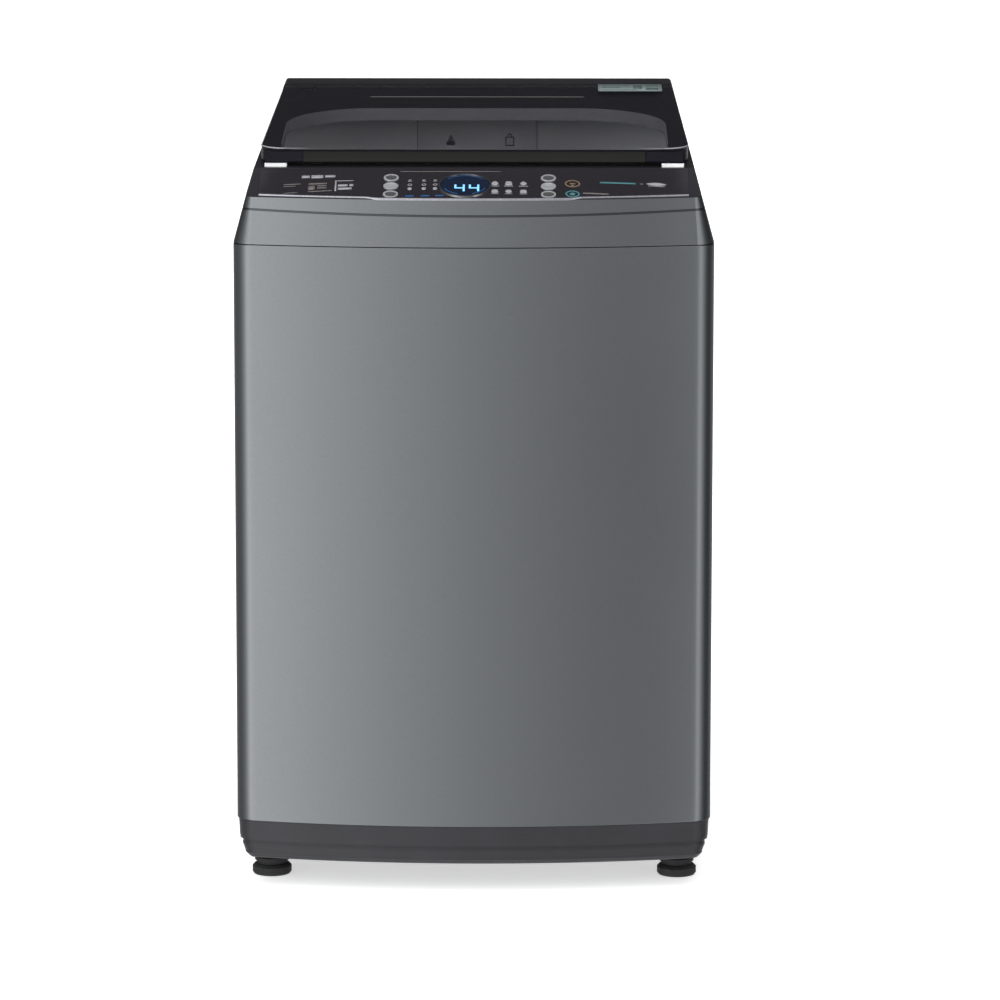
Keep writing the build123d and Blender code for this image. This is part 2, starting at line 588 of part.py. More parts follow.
# ------------------------------------------------------------------ tub
def outer_tub():
    """Moulded tub: wall with a rim, floor with ribs, lugs for the rods, a sump hole and a bearing seat."""
    tub = post(TUB_R, TUB_Z0, TUB_Z1) - post(TUB_R - TUB_WALL, TUB_Z0 + 4, TUB_Z1 + 1)
    tub += tube(267, TUB_R - TUB_WALL, TUB_Z1 - 6, TUB_Z1)
    for z in (420, 560, 700):
        tub += tube(265, TUB_R - TUB_WALL, z, z + 4)
    lugs = None
    for x, y in RODS:
        angle = math.degrees(math.atan2(y - TUB_Y, x))
        reach = math.hypot(x, y - TUB_Y)
        arm = Pos(0, TUB_Y, (LUG_Z0 + LUG_Z1) / 2) * Rot(0, 0, angle) * (
            Pos((reach + 240) / 2, 0, 0) * Box(reach - 240, 36, LUG_Z1 - LUG_Z0))
        arm += post(19, LUG_Z0, LUG_Z1, x, y)
        lugs = arm if lugs is None else lugs + arm
    tub += lugs - post(TUB_R - TUB_WALL / 2, 200, 900)
    tub = drill(tub, RODS, 15.0, LUG_Z0 - 5, LUG_Z1 + 5)
    for k in range(12):
        tub += Pos(0, TUB_Y, 236.5) * Rot(0, 0, 30 * k) * Pos(124, 0, 0) * Box(172, 3, 9)
    tub += tube(40, 26, 232, TUB_Z0 + 1)
    tub -= post(26, 200, 250)
    return tub - post(13, 220, 250, -120, TUB_Y + 120)


def tub_cover():
    """Ring over the tub's rim that leaves the basket's mouth open."""
    profile = [(206, 828), (209, 831), (262, 831), (262, TUB_Z1 + 0.2), (270, TUB_Z1 + 0.2), (270, 834),
               (262, 836), (212, 836), (206, 833)]
    return turned(profile)


def tub_bearing():
    """Ball bearing in the tub's floor, drawn as one ring."""
    return tube(26, 15.08, 232, 243)


def mounting_plate():
    """Pressed steel plate under the tub that carries gearbox and motor."""
    plate = prism(Pos(0, 60) * RectangleRounded(330, 330, 36), PLATE_Z0, PLATE_Z1)
    plate -= post(45, 200, 260)
    plate -= post(24, 200, 260, 0, MOTOR_Y)
    plate -= post(20, 200, 260, -120, TUB_Y + 120)
    for x, y in ((-130, -60), (130, -60), (-60, 200), (130, 150)):
        plate -= post(9, 200, 260, x, y)
    return plate


def gearbox():
    """Reduction gearbox, clutch and brake drum in one housing, with bores for the shafts."""
    profile = [(15.6, 226), (15.6, 218), (54, 218), (54, 146), (12, 146), (12, 136), (40, 136), (62, 150),
               (62, 216), (84, 220), (84, 228), (30, 228), (30, 226)]
    return turned(profile)


def motor_body():
    """Induction motor: finned can with end caps, hung under the plate."""
    y = MOTOR_Y
    motor = tube(MOTOR_R, 6.4, 134, 214, 0, y)
    motor = fillet(motor.edges().filter_by(GeomType.CIRCLE).filter_by(lambda e: e.radius > 50), 6)
    for k in range(16):
        motor -= Pos(0, y, 174) * Rot(0, 0, 22.5 * k) * Pos(MOTOR_R, 0, 0) * Box(6, 6, 44)
    for k in range(4):
        motor += Pos(0, y, 221) * Rot(0, 0, 45 + 90 * k) * Pos(46, 0, 0) * Cylinder(7, 14.4)
    return motor


def v_pulley(r, bore, x, y, groove=9.0):
    """Pulley with one V groove."""
    mid = (PULLEY_Z0 + PULLEY_Z1) / 2
    profile = [(bore, PULLEY_Z0), (r, PULLEY_Z0), (r, mid - 6.2),
               (r - groove, mid - 3.6), (r - groove, mid + 3.6),
               (r, mid + 6.2), (r, PULLEY_Z1), (bore, PULLEY_Z1)]
    return turned(profile, x, y)


def drive_pulley():
    """Large pulley with the gearbox's input shaft and its nut, lightened by six holes."""
    pulley = v_pulley(PULLEY_R, 9.0, 0, TUB_Y)
    pulley -= tube(66, 24, PULLEY_Z0 - 1, PULLEY_Z0 + 6) + tube(66, 24, PULLEY_Z1 - 6, PULLEY_Z1 + 1)
    for k in range(6):
        pulley -= Pos(0, TUB_Y, 115) * Rot(0, 0, 60 * k) * Pos(45, 0, 0) * Cylinder(13, 30)
    pulley += post(9.0, 98, 172)
    return pulley + Pos(0, TUB_Y, 98) * extrude(RegularPolygon(15, 6), 8.0)


def motor_pulley():
    """Small pulley with the motor's rotor shaft."""
    return v_pulley(MOTOR_PULLEY_R, 6.0, 0, MOTOR_Y) + post(6.0, 100, 212, 0, MOTOR_Y)


def belt_loop(big, small):
    """Plan of a loop round both pulleys at two radii."""
    span = MOTOR_Y - TUB_Y
    tilt = math.asin((big - small) / span)
    cos, sin = math.cos(tilt), math.sin(tilt)
    corners = [(big * cos, TUB_Y + big * sin), (small * cos, MOTOR_Y + small * sin),
               (-small * cos, MOTOR_Y + small * sin), (-big * cos, TUB_Y + big * sin)]
    loop = make_face(Polyline(*corners, close=True)) + Pos(0, TUB_Y) * Circle(big)
    return loop + Pos(0, MOTOR_Y) * Circle(small)


def drive_belt():
    """V belt round both pulleys, clear of the grooves' sides."""
    mid = (PULLEY_Z0 + PULLEY_Z1) / 2
    outer = (PULLEY_R - BELT_INSET, MOTOR_PULLEY_R - BELT_INSET)
    inner = (outer[0] - BELT_DEPTH + 0.6, outer[1] - BELT_DEPTH + 0.6)
    return prism(belt_loop(*outer) - belt_loop(*inner), mid - 3.3, mid + 3.3)


def drain_valve():
    """Valve under the tub's sump with an outlet spigot."""
    x, y = -120, TUB_Y + 120
    valve = post(12.9, 196, 239.8, x, y) + slab(x - 28, x + 28, y - 26, y + 26, 150, 197)
    valve += Pos(x - 40, y, 166) * Rot(0, 90, 0) * Cylinder(14, 24)
    return valve - Pos(x - 30, y, 166) * Rot(0, 90, 0) * Cylinder(11, 50)


def drain_hose():
    """Hose from the valve to the outlet on the back, loose enough for the tub to move."""
    start = (-172.2, TUB_Y + 120, 166)
    end = (OUTLET_X, OUTLET_Y0, OUTLET_Z)
    path = FilletPolyline(start, (-226, TUB_Y + 120, 166), (-238, 178, 128), (OUTLET_X, 216, OUTLET_Z), end,
                          radius=22)
    ring = Plane(origin=start, z_dir=path % 0) * (Circle(16.0) - Circle(13.6))
    return sweep(ring, path)


def drain_outlet():
    """Bulkhead spigot on the back that the drain hose pushes onto."""
    place = Pos(OUTLET_X, 0, OUTLET_Z) * Rot(-90, 0, 0)
    middle, length = (OUTLET_Y0 + FITTING_END_Y) / 2 + 0.2, FITTING_END_Y - OUTLET_Y0 - 0.4
    spigot = place * Pos(0, 0, middle) * Cylinder(14, length)
    spigot += place * Pos(0, 0, 298.4) * Cylinder(20, 2.0)
    return spigot - place * Pos(0, 0, 300) * Cylinder(11, 100)


def cord_gland():
    """Rubber gland for the supply cord in the rear panel."""
    place = Pos(CORD_X, 0, CORD_Z) * Rot(-90, 0, 0)
    gland = place * Pos(0, 0, 300.5) * Cylinder(10.8, 18) + place * Pos(0, 0, 303.5) * Cylinder(14, 6)
    return gland - place * Pos(0, 0, 300) * Cylinder(4.2, 60)


# ------------------------------------------------------------------ basket and pulsator
def basket_drum():
    """Rolled stainless drum, drawn without its holes."""
    return tube(DRUM_R, DRUM_R - DRUM_SHEET, DRUM_Z0, DRUM_Z1)


def basket_base():
    """Moulded floor of the basket with a shoulder round the pulsator."""
    profile = [(34, 262), (238, 262), (239.5, 264), (239.5, 290),
               (222, 290), (208, 276), (207, 268), (34, 268)]
    base = turned(profile)
    for k in range(24):
        base -= Pos(0, TUB_Y, 265) * Rot(0, 0, 15 * k) * Pos(120 + 40 * (k % 2), 0, 0) * Cylinder(5, 20)
    return base


def balance_ring():
    """Hollow ring of brine on top of the drum, drawn solid."""
    profile = [(RING_INNER_R + 4, DRUM_Z1), (241, DRUM_Z1), (241, RING_Z1 - 6), (236, RING_Z1),
               (RING_INNER_R + 8, RING_Z1), (RING_INNER_R, RING_Z1 - 8), (RING_INNER_R, DRUM_Z1 + 10)]
    return turned(profile)


def basket_hub():
    """Aluminium hub under the basket with three arms, and the hollow shaft it is fixed on."""
    hub = tube(46, 8.4, 252, 261.8)
    for k in range(3):
        hub += Pos(0, TUB_Y, 257.9) * Rot(0, 0, 120 * k) * Pos(120, 0, 0) * Box(170, 34, 7.8)
    return hub - post(8.4, 240, 270) + tube(15.0, 8.4, 178, 252.5)


def pulsator():
    """Dished rotor with six swept vanes and a boss."""
    profile = [(8.0, PULSATOR_Z), (PULSATOR_R - 6, PULSATOR_Z),
               (PULSATOR_R, PULSATOR_Z + 4), (PULSATOR_R, PULSATOR_Z + 12),
               (PULSATOR_R - 4, PULSATOR_Z + 12), (PULSATOR_R - 26, PULSATOR_Z + 4), (70, PULSATOR_Z + 4),
               (34, PULSATOR_Z + 26), (22, PULSATOR_Z + 30), (22, PULSATOR_Z + 22), (8.0, PULSATOR_Z + 22)]
    rotor = turned(profile)
    vane = Polyline((30, 0, PULSATOR_Z + 3), (30, 0, PULSATOR_Z + 28), (60, 0, PULSATOR_Z + 34),
                    (150, 0, PULSATOR_Z + 20), (PULSATOR_R - 12, 0, PULSATOR_Z + 8),
                    (PULSATOR_R - 12, 0, PULSATOR_Z + 3),
                    close=True)
    blade = extrude(make_face(vane), 5, both=True)
    for k in range(6):
        rotor += Pos(0, TUB_Y, 0) * Rot(0, 0, 60 * k) * blade
    return rotor - post(8.0, 260, 320)


def pulsator_shaft():
    """Inner shaft from the gearbox up through the basket's shaft to the pulsator."""
    return post(8.0, 181, PULSATOR_Z + 21.5)


def pulsator_cap():
    """Cap over the screw."""
    dome = post(21.6, PULSATOR_Z + 29, PULSATOR_Z + 33)
    return fillet(dome.edges().group_by(Axis.Z)[-1], 3)


def lint_filters():
    """Two lint filter cassettes clipped inside the drum's wall."""
    inner = DRUM_R - DRUM_SHEET - 0.3
    filters = []
    for side in (-1, 1):
        block = slab(*sorted((side * 208, side * 240)), TUB_Y - 48, TUB_Y + 48, 430, 640)
        block &= post(inner, 400, 700)
        block = fillet(block.edges().filter_by(Axis.Y), 4)
        filters.append(block - slab(*sorted((side * 200, side * 228)), TUB_Y - 38, TUB_Y + 38, 446, 596))
    return Compound(children=filters)


# ------------------------------------------------------------------ the set of parts
def build():
    """Every node of the model by name."""
    parts = {
        "cabinet_wrap": cabinet_wrap(),
        "rear_panel": rear_panel(),
        "rear_panel_screws": rear_panel_screws(),
        "base_frame": base_frame(),
        "base_guard": base_guard(),
        "rear_feet": rear_feet(),
        "top_cover": top_cover(),
        "control_fascia": control_fascia(),
        "display_window": display_window(),
        "dial_ring": dial_ring(),
        "trim_strip": trim_strip(),
        "control_board": control_board(),
        "lid_bumpers": lid_bumpers(),
        "dispenser_housing": dispenser_housing(),
        "dispenser_drawer": dispenser_drawer(),
        "drawer_front": drawer_front(),
        "siphon_cap": siphon_cap(),
        "inlet_valve": inlet_valve(),
        "inlet_hose": inlet_hose(),
        "lid_frame": lid_frame(),
        "lid_glass": lid_glass(),
        "lid_handle": lid_handle(),
        "hinge_pins": hinge_pins(),
        "corner_brackets": corner_brackets(),
        "suspension_rods": suspension_rods(),
        "rod_ball_seats": rod_ball_seats(),
        "spring_seats": spring_seats(),
        "suspension_springs": suspension_springs(),
        "damper_cups": damper_cups(),
        "outer_tub": outer_tub(),
        "tub_cover": tub_cover(),
        "tub_bearing": tub_bearing(),
        "mounting_plate": mounting_plate(),
        "gearbox": gearbox(),
        "motor_body": motor_body(),
        "drive_belt": drive_belt(),
        "drain_valve": drain_valve(),
        "drain_hose": drain_hose(),
        "drain_outlet": drain_outlet(),
        "cord_gland": cord_gland(),
        "drive_pulley": drive_pulley(),
        "motor_pulley": motor_pulley(),
        "basket_drum": basket_drum(),
        "basket_base": basket_base(),
        "balance_ring": balance_ring(),
        "basket_hub": basket_hub(),
        "lint_filters": lint_filters(),
        "pulsator": pulsator(),
        "pulsator_shaft": pulsator_shaft(),
        "pulsator_cap": pulsator_cap(),
    }
    for name, sx in (("left", -1), ("right", 1)):
        parts[f"{name}_foot_pad"] = foot_pad(sx * FOOT_X, FOOT_FRONT_Y)
        parts[f"{name}_foot_stud"] = foot_stud(sx * FOOT_X, FOOT_FRONT_Y)
    for number, (x, step) in enumerate(button_places(), 1):
        parts[f"button_{number}"] = button(x, step)
    return parts


if __name__ == "__main__":
    os.makedirs("parts", exist_ok=True)
    for name, shape in build().items():
        export_step(shape, f"parts/{name}.step")
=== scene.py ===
"""A top load washing machine: metallic grey cabinet, black glass lid and control panel, steel basket."""

import math

import bmesh
import bpy
import numpy as np
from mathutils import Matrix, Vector


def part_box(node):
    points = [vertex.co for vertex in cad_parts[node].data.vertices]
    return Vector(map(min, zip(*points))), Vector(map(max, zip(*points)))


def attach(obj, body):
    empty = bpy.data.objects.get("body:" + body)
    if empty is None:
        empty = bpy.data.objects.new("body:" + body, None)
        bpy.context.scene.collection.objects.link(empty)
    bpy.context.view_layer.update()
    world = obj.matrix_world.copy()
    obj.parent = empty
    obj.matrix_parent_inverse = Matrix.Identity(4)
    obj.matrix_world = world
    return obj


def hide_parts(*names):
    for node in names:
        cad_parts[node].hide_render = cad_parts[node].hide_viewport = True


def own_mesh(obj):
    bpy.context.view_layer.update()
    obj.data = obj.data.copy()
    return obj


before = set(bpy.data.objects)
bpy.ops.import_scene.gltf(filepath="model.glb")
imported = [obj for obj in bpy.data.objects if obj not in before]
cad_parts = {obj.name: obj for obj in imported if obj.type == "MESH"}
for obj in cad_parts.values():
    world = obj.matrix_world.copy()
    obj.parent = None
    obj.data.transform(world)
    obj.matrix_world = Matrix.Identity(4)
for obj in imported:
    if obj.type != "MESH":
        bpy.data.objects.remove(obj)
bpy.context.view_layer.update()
MM = 0.001

# ------------------------------------------------------------------ driving dimensions, metres
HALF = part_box("cabinet_wrap")[1].x
FRONT_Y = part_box("cabinet_wrap")[0].y
WRAP_BACK_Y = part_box("cabinet_wrap")[1].y
SEAM_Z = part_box("cabinet_wrap")[1].z
CABINET_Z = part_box("cabinet_wrap")[0].z
FRONT_BOW = 38 * MM
CORNER_R, REAR_CORNER_R = 28 * MM, 12 * MM
LEAN = math.tan(math.radians(15.2))
LID_SLOPE = math.tan(math.radians(5.0))
LID_FRONT_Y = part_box("lid_glass")[0].y
LID_BACK_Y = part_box("lid_glass")[1].y
LID_TOP_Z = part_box("lid_glass")[0].z + 4 * MM
LID_THICK, GLASS = 20 * MM, 4 * MM
PANEL_Z, PANEL_TOP_Y = 877 * MM, -215 * MM
DIAL_X = (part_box("display_window")[0].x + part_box("display_window")[1].x) / 2
CONTROLS_X = (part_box("button_1")[0].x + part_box("button_4")[1].x) / 2
PANEL_TOP_Z = float(LID_TOP_Z + (PANEL_TOP_Y - LID_FRONT_Y) * LID_SLOPE) - LID_THICK - 1 * MM
WINDOW_X, WINDOW_FRONT_Y, WINDOW_BACK_Y, WINDOW_R = 244 * MM, -150 * MM, 99 * MM, 112 * MM
# The crease line, and the band along it that is painted darker as shade: its half-width and where it ends
# behind.
CREASE_MIDDLE, CREASE_RADIUS, CREASE_SHADE_HALF, CREASE_SHADE_BACK_Y = 857.7 * MM, 8.01, 1.45 * MM, -200 * MM
WASH_X, WASH_FRONT_Y, WASH_BACK_Y = 252.5 * MM, -182.5 * MM, 164.5 * MM
SERVICE_X, SERVICE_Y, SERVICE_LOW_Z, SERVICE_HIGH_Z = 220 * MM, 290 * MM, 130 * MM, 768 * MM
KEYS_APART, KEY_STEPS = 196 * MM, (15 * MM, 38 * MM, 61 * MM)
AXIS_Y = (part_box("basket_drum")[0].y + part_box("basket_drum")[1].y) / 2
TURN = 2 * math.pi
FRONT_R = (HALF ** 2 + FRONT_BOW ** 2) / (2 * FRONT_BOW)
FRONT_CENTRE_Y = FRONT_Y + FRONT_R
PANEL_R = FRONT_R - LEAN * (PANEL_Z - SEAM_Z)


# ------------------------------------------------------------------ mesh helpers
def ramp(start, stop, count):
    """Evenly spaced numbers, both ends included."""
    return np.linspace(start, stop, count)


def stack(*columns):
    """Arrays of one shape put together as points."""
    return np.stack(np.broadcast_arrays(*columns), axis=-1)


def skin(points, close_rows=False, close_columns=False, flip=False):
    """Quads over a grid of points (rows, columns, 3), optionally closed either way round."""
    rows, columns = points.shape[:2]
    index = np.arange(rows * columns).reshape(rows, columns)
    if close_rows:
        index = np.vstack([index, index[:1]])
    if close_columns:
        index = np.hstack([index, index[:, :1]])
    quads = np.stack([index[:-1, :-1], index[1:, :-1], index[1:, 1:], index[:-1, 1:]], axis=-1)
    quads = quads.reshape(-1, 4)
    if flip:
        quads = quads[:, ::-1]
    return points.reshape(-1, 3), quads


def lid_of(ring, flip=False):
    """A fan of triangles from a ring's middle, as quads with a doubled corner."""
    count = len(ring)
    points = np.vstack([ring, ring.mean(axis=0)[None]])
    here = np.arange(count)
    quads = np.stack([here, np.roll(here, -1), np.full(count, count), np.full(count, count)], axis=-1)
    if flip:
        quads = quads[:, [1, 0, 2, 3]]
    return points, quads


def make(name, skins, finish, body, stands_for=(), crease=32.0, weld=2e-5, outward=True):
    """One piece from several skins: welded, shaded smooth below the crease angle, riding on its body."""
    points = np.vstack([s[0] for s in skins])
    steps = np.cumsum([0] + [len(s[0]) for s in skins[:-1]])
    faces = []
    for (_, quads), step in zip(skins, steps):
        faces += [tuple(dict.fromkeys(q)) for q in (quads + step).tolist()]
    mesh = bpy.data.meshes.new(name)
    mesh.from_pydata(points.tolist(), [], faces)
    tidy = bmesh.new()
    tidy.from_mesh(mesh)
    bmesh.ops.remove_doubles(tidy, verts=tidy.verts, dist=weld)
    bmesh.ops.dissolve_degenerate(tidy, edges=tidy.edges, dist=1e-7)
    if outward:
        bmesh.ops.recalc_face_normals(tidy, faces=tidy.faces)
    tidy.to_mesh(mesh)
    tidy.free()
    mesh.shade_smooth()
    mesh.set_sharp_from_angle(angle=math.radians(crease))
    piece = bpy.data.objects.new(name, mesh)
    bpy.context.scene.collection.objects.link(piece)
    mesh.materials.append(finish)
    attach(piece, body)
    if stands_for:
        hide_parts(*stands_for)
    return piece


def turned(profile, x=0.0, y=AXIS_Y, count=96, closed=True):
    """A profile of (radius, height) turned about an upright axis: x + r cos t, y + r sin t, z."""
    profile = np.array(profile, float)
    angle = np.arange(count) * TURN / count
    r, z = profile[:, 0][None, :], profile[:, 1][None, :]
    points = stack(x + r * np.cos(angle)[:, None], y + r * np.sin(angle)[:, None], z + 0 * angle[:, None])
    return skin(points, close_rows=True, close_columns=closed)


def rounded(corners, radius, steps=4):
    """A polyline with each inner corner replaced by a circular arc of a radius."""
    corners = np.array(corners, float)
    radii = np.broadcast_to(radius, len(corners))
    out = [corners[0]]
    for before, here, after, r in zip(corners[:-2], corners[1:-1], corners[2:], radii[1:-1]):
        a, b = before - here, after - here
        la, lb = np.linalg.norm(a), np.linalg.norm(b)
        a, b = a / la, b / lb
        half = math.acos(np.clip(a @ b, -1, 1)) / 2
        reach = min(r / max(math.tan(half), 1e-6), 0.49 * la, 0.49 * lb)
        r = reach * math.tan(half)
        if half > 1.55 or r < 1e-6:
            out.append(here)
            continue
        middle = here + (a + b) / np.linalg.norm(a + b) * (r / math.sin(half))
        start, end = here + a * reach - middle, here + b * reach - middle
        sweep = math.pi - 2 * half
        for share in ramp(0, 1, steps + 1):
            part = start * math.sin((1 - share) * sweep) + end * math.sin(share * sweep)
            out.append(middle + part / math.sin(sweep))
    out.append(corners[-1])
    return np.array(out)


# ------------------------------------------------------------------ plan of the cabinet
def arc(centre, radius, start, end, count):
    """Points and outward normals on a circle between two angles, in degrees."""
    angle = np.radians(ramp(start, end, count))
    normal = stack(np.cos(angle), np.sin(angle))
    return np.array(centre) + radius * normal, normal


def straight(start, end, count):
    """Points and outward normals (on the right-hand side) along a line, ends left out."""
    start, end = np.array(start, float), np.array(end, float)
    share = ramp(0, 1, count + 2)[1:-1, None]
    along = (end - start) / np.linalg.norm(end - start)
    normal = np.array([along[1], -along[0]])
    return start + share * (end - start), np.broadcast_to(normal, (count, 2))


def cabinet_plan(back_y, rear_r):
    """The bowed outline, anticlockwise from the front's left end, with its outward normals."""
    corner_x = HALF - CORNER_R
    corner_y = FRONT_CENTRE_Y - math.sqrt((FRONT_R - CORNER_R) ** 2 - corner_x ** 2)
    meet = math.degrees(math.atan2(FRONT_CENTRE_Y - corner_y, corner_x))
    rear_x, rear_y = HALF - rear_r, back_y - rear_r
    runs = [
        arc((0, FRONT_CENTRE_Y), FRONT_R, 180 + meet, 360 - meet, 120),
        arc((corner_x, corner_y), CORNER_R, -meet, 0, 14),
        straight((HALF, corner_y), (HALF, rear_y), 24),
        arc((rear_x, rear_y), rear_r, 0, 90, 9),
        straight((rear_x, back_y), (-rear_x, back_y), 24),
        arc((-rear_x, rear_y), rear_r, 90, 180, 9),
        straight((-HALF, rear_y), (-HALF, corner_y), 24),
        arc((-corner_x, corner_y), CORNER_R, 180, 180 + meet, 14),
    ]
    return np.vstack([p for p, _ in runs]), np.vstack([n for _, n in runs])


CABINET_PLAN = cabinet_plan(WRAP_BACK_Y, REAR_CORNER_R)


def wall_round(plan, profile):
    """A closed profile of (inset, height) carried round the plan: point = plan - inset * normal."""
    at, out = plan
    profile = np.array(profile, float)
    inset, z = profile[:, 0][None, :], profile[:, 1][None, :]
    points = stack(at[:, :1] - inset * out[:, :1], at[:, 1:] - inset * out[:, 1:], z + 0 * at[:, :1])
    return skin(points, close_rows=True, close_columns=True)


# ------------------------------------------------------------------ materials
CABINET_GREY = (0.158, 0.165, 0.170)
COVER_BLACK = (0.014, 0.013, 0.016)
COLLAR_GREY = (0.62, 0.615, 0.65)
WINDOW_WALL_GREY = (0.23, 0.228, 0.25)
ENAMEL_TINT = (0.45, 0.45, 0.46, 1)


def material(name, base, metallic=0.0, roughness=0.5, coat=0.0, coat_roughness=0.1, alpha=1.0, specular=0.5):
    """A Principled material and its nodes, ready for a pattern."""
    made = bpy.data.materials.new(name)
    made.use_nodes = True
    shader = made.node_tree.nodes["Principled BSDF"]
    shader.inputs["Base Color"].default_value = (*base, 1)
    shader.inputs["Metallic"].default_value = metallic
    shader.inputs["Roughness"].default_value = roughness
    shader.inputs["Coat Weight"].default_value = coat
    shader.inputs["Coat Roughness"].default_value = coat_roughness
    shader.inputs["Alpha"].default_value = alpha
    shader.inputs["Specular IOR Level"].default_value = specular
    return made, made.node_tree, shader


def noise(tree, scale, detail=4.0, stretch=(1, 1, 1), rough=0.5):
    """Noise on the object's own coordinates, stretched along its axes."""
    where = tree.nodes.new("ShaderNodeTexCoord")
    place = tree.nodes.new("ShaderNodeMapping")
    place.inputs["Scale"].default_value = stretch
    cloud = tree.nodes.new("ShaderNodeTexNoise")
    cloud.inputs["Scale"].default_value = scale
    cloud.inputs["Detail"].default_value = detail
    cloud.inputs["Roughness"].default_value = rough
    tree.links.new(where.outputs["Object"], place.inputs["Vector"])
    tree.links.new(place.outputs["Vector"], cloud.inputs["Vector"])
    return cloud.outputs["Fac"]


def blend_colours(tree, factor, low, high, start=0.35, end=0.65):
    """A two-colour ramp over a pattern."""
    mix = tree.nodes.new("ShaderNodeValToRGB")
    mix.color_ramp.elements[0].position = start
    mix.color_ramp.elements[1].position = end
    mix.color_ramp.elements[0].color = (*low, 1)
    mix.color_ramp.elements[1].color = (*high, 1)
    tree.links.new(factor, mix.inputs["Fac"])
    return mix.outputs["Color"]


def spread(tree, factor, low, high):
    """A pattern's values moved into a range."""
    move = tree.nodes.new("ShaderNodeMapRange")
    move.inputs["To Min"].default_value = low
    move.inputs["To Max"].default_value = high
    tree.links.new(factor, move.inputs["Value"])
    return move.outputs["Result"]


def spread_between(tree, value, low, high):
    """0 below the low value, 1 above the high one."""
    move = tree.nodes.new("ShaderNodeMapRange")
    move.inputs["From Min"].default_value, move.inputs["From Max"].default_value = low, high
    tree.links.new(value, move.inputs["Value"])
    return move.outputs["Result"]


def bumped(tree, shader, factor, strength, distance):
    """A pattern used as relief."""
    relief = tree.nodes.new("ShaderNodeBump")
    relief.inputs["Strength"].default_value = strength
    relief.inputs["Distance"].default_value = distance
    tree.links.new(factor, relief.inputs["Height"])
    tree.links.new(relief.outputs["Normal"], shader.inputs["Normal"])


def calc(tree, operation, *values):
    """A Math node's result from numbers or links."""
    node = tree.nodes.new("ShaderNodeMath")
    node.operation = operation
    for socket, value in zip(node.inputs, values):
        if isinstance(value, (int, float)):
            socket.default_value = value
        else:
            tree.links.new(value, socket)
    return node.outputs["Value"]


def within(tree, *tests):
    """1 where every test holds: each is a link, GREATER_THAN or LESS_THAN, and a limit."""
    result = 1.0
    for value, operation, limit in tests:
        result = calc(tree, "MULTIPLY", result, calc(tree, operation, value, limit))
    return result


def place_of(tree):
    """The object's own x, y and z as links."""
    where = tree.nodes.new("ShaderNodeTexCoord")
    at = tree.nodes.new("ShaderNodeSeparateXYZ")
    tree.links.new(where.outputs["Object"], at.inputs["Vector"])
    return at.outputs["X"], at.outputs["Y"], at.outputs["Z"]


def pick(tree, factor, low, high):
    """One of two colours or colour links, by a factor."""
    mix = tree.nodes.new("ShaderNodeMix")
    mix.data_type = "RGBA"
    tree.links.new(factor, mix.inputs["Factor"])
    for socket, value in ((mix.inputs["A"], low), (mix.inputs["B"], high)):
        if isinstance(value, tuple):
            socket.default_value = (*value, 1)
        else:
            tree.links.new(value, socket)
    return mix.outputs["Result"]


def shade(colour, factor):
    """A colour made lighter or darker."""
    return tuple(min(1.0, c * factor) for c in colour)


def mottled(tree, factor, colour, dark, light, start=0.35, end=0.65):
    """A colour between a darker and a lighter tone of itself, by a pattern."""
    return blend_colours(tree, factor, shade(colour, dark), shade(colour, light), start, end)


def feed(tree, shader, socket, link):
    """A pattern joined to one of the shader's sockets."""
    tree.links.new(link, shader.inputs[socket])


def flakes(tree, colour):
    """The fine bright and dark specks of metallic enamel."""
    return mottled(tree, noise(tree, 2600.0, 2.0), colour, 0.86, 1.16)


def orange_peel(tree, shader):
    """The fine relief of sprayed enamel."""
    bumped(tree, shader, noise(tree, 420.0, 2.0), 0.05, 0.0004)


def metallic_paint(name, colour, roughness=0.34):
    """Metallic enamel: fine flakes, a slow drift in its shine and orange-peel relief."""
    made, tree, shader = material(name, colour, 1.0, roughness)
    shader.inputs["Specular Tint"].default_value = ENAMEL_TINT
    feed(tree, shader, "Base Color", flakes(tree, colour))
    drift = noise(tree, 3.0, 3.0)
    feed(tree, shader, "Roughness", spread(tree, drift, roughness - 0.04, roughness + 0.05))
    orange_peel(tree, shader)
    return made


def moulded(name, colour, roughness=0.55, grain=900.0, relief=0.12, specular=0.5):
    """Moulded plastic: spark-eroded grain, faint flow marks and handling polish."""
    made, tree, shader = material(name, colour, 0.0, roughness, specular=specular)
    feed(tree, shader, "Base Color", mottled(tree, noise(tree, 14.0, 5.0), colour, 0.9, 1.1))
    polish = noise(tree, 40.0, 4.0)
    feed(tree, shader, "Roughness", spread(tree, polish, roughness - 0.07, roughness + 0.07))
    bumped(tree, shader, noise(tree, grain, 3.0), relief, 0.0003)
    return made


def gloss(name, colour, roughness=0.09, coat=0.6, metallic=0.0, specular=0.5):
    """Polished plastic: nearly smooth, with faint wipe marks in its shine."""
    made, tree, shader = material(name, colour, metallic, roughness, coat, 0.05, specular=specular)
    wipes = noise(tree, 26.0, 6.0, (1, 3, 1))
    feed(tree, shader, "Roughness", spread(tree, wipes, roughness * 0.6, roughness * 1.7))
    feed(tree, shader, "Base Color", mottled(tree, noise(tree, 8.0), colour, 0.94, 1.06))
    bumped(tree, shader, noise(tree, 90.0, 2.0), 0.02, 0.0002)
    return made


def metal(name, colour, roughness=0.3, brush=(1, 1, 60), scale=160.0, relief=0.05):
    """Bare metal: fine marks stretched along one axis and small changes of tone."""
    made, tree, shader = material(name, colour, 1.0, roughness)
    marks = noise(tree, scale, 6.0, brush, 0.65)
    feed(tree, shader, "Base Color", mottled(tree, marks, colour, 0.82, 1.12))
    feed(tree, shader, "Roughness", spread(tree, marks, roughness - 0.08, roughness + 0.1))
    bumped(tree, shader, marks, relief, 0.0002)
    return made


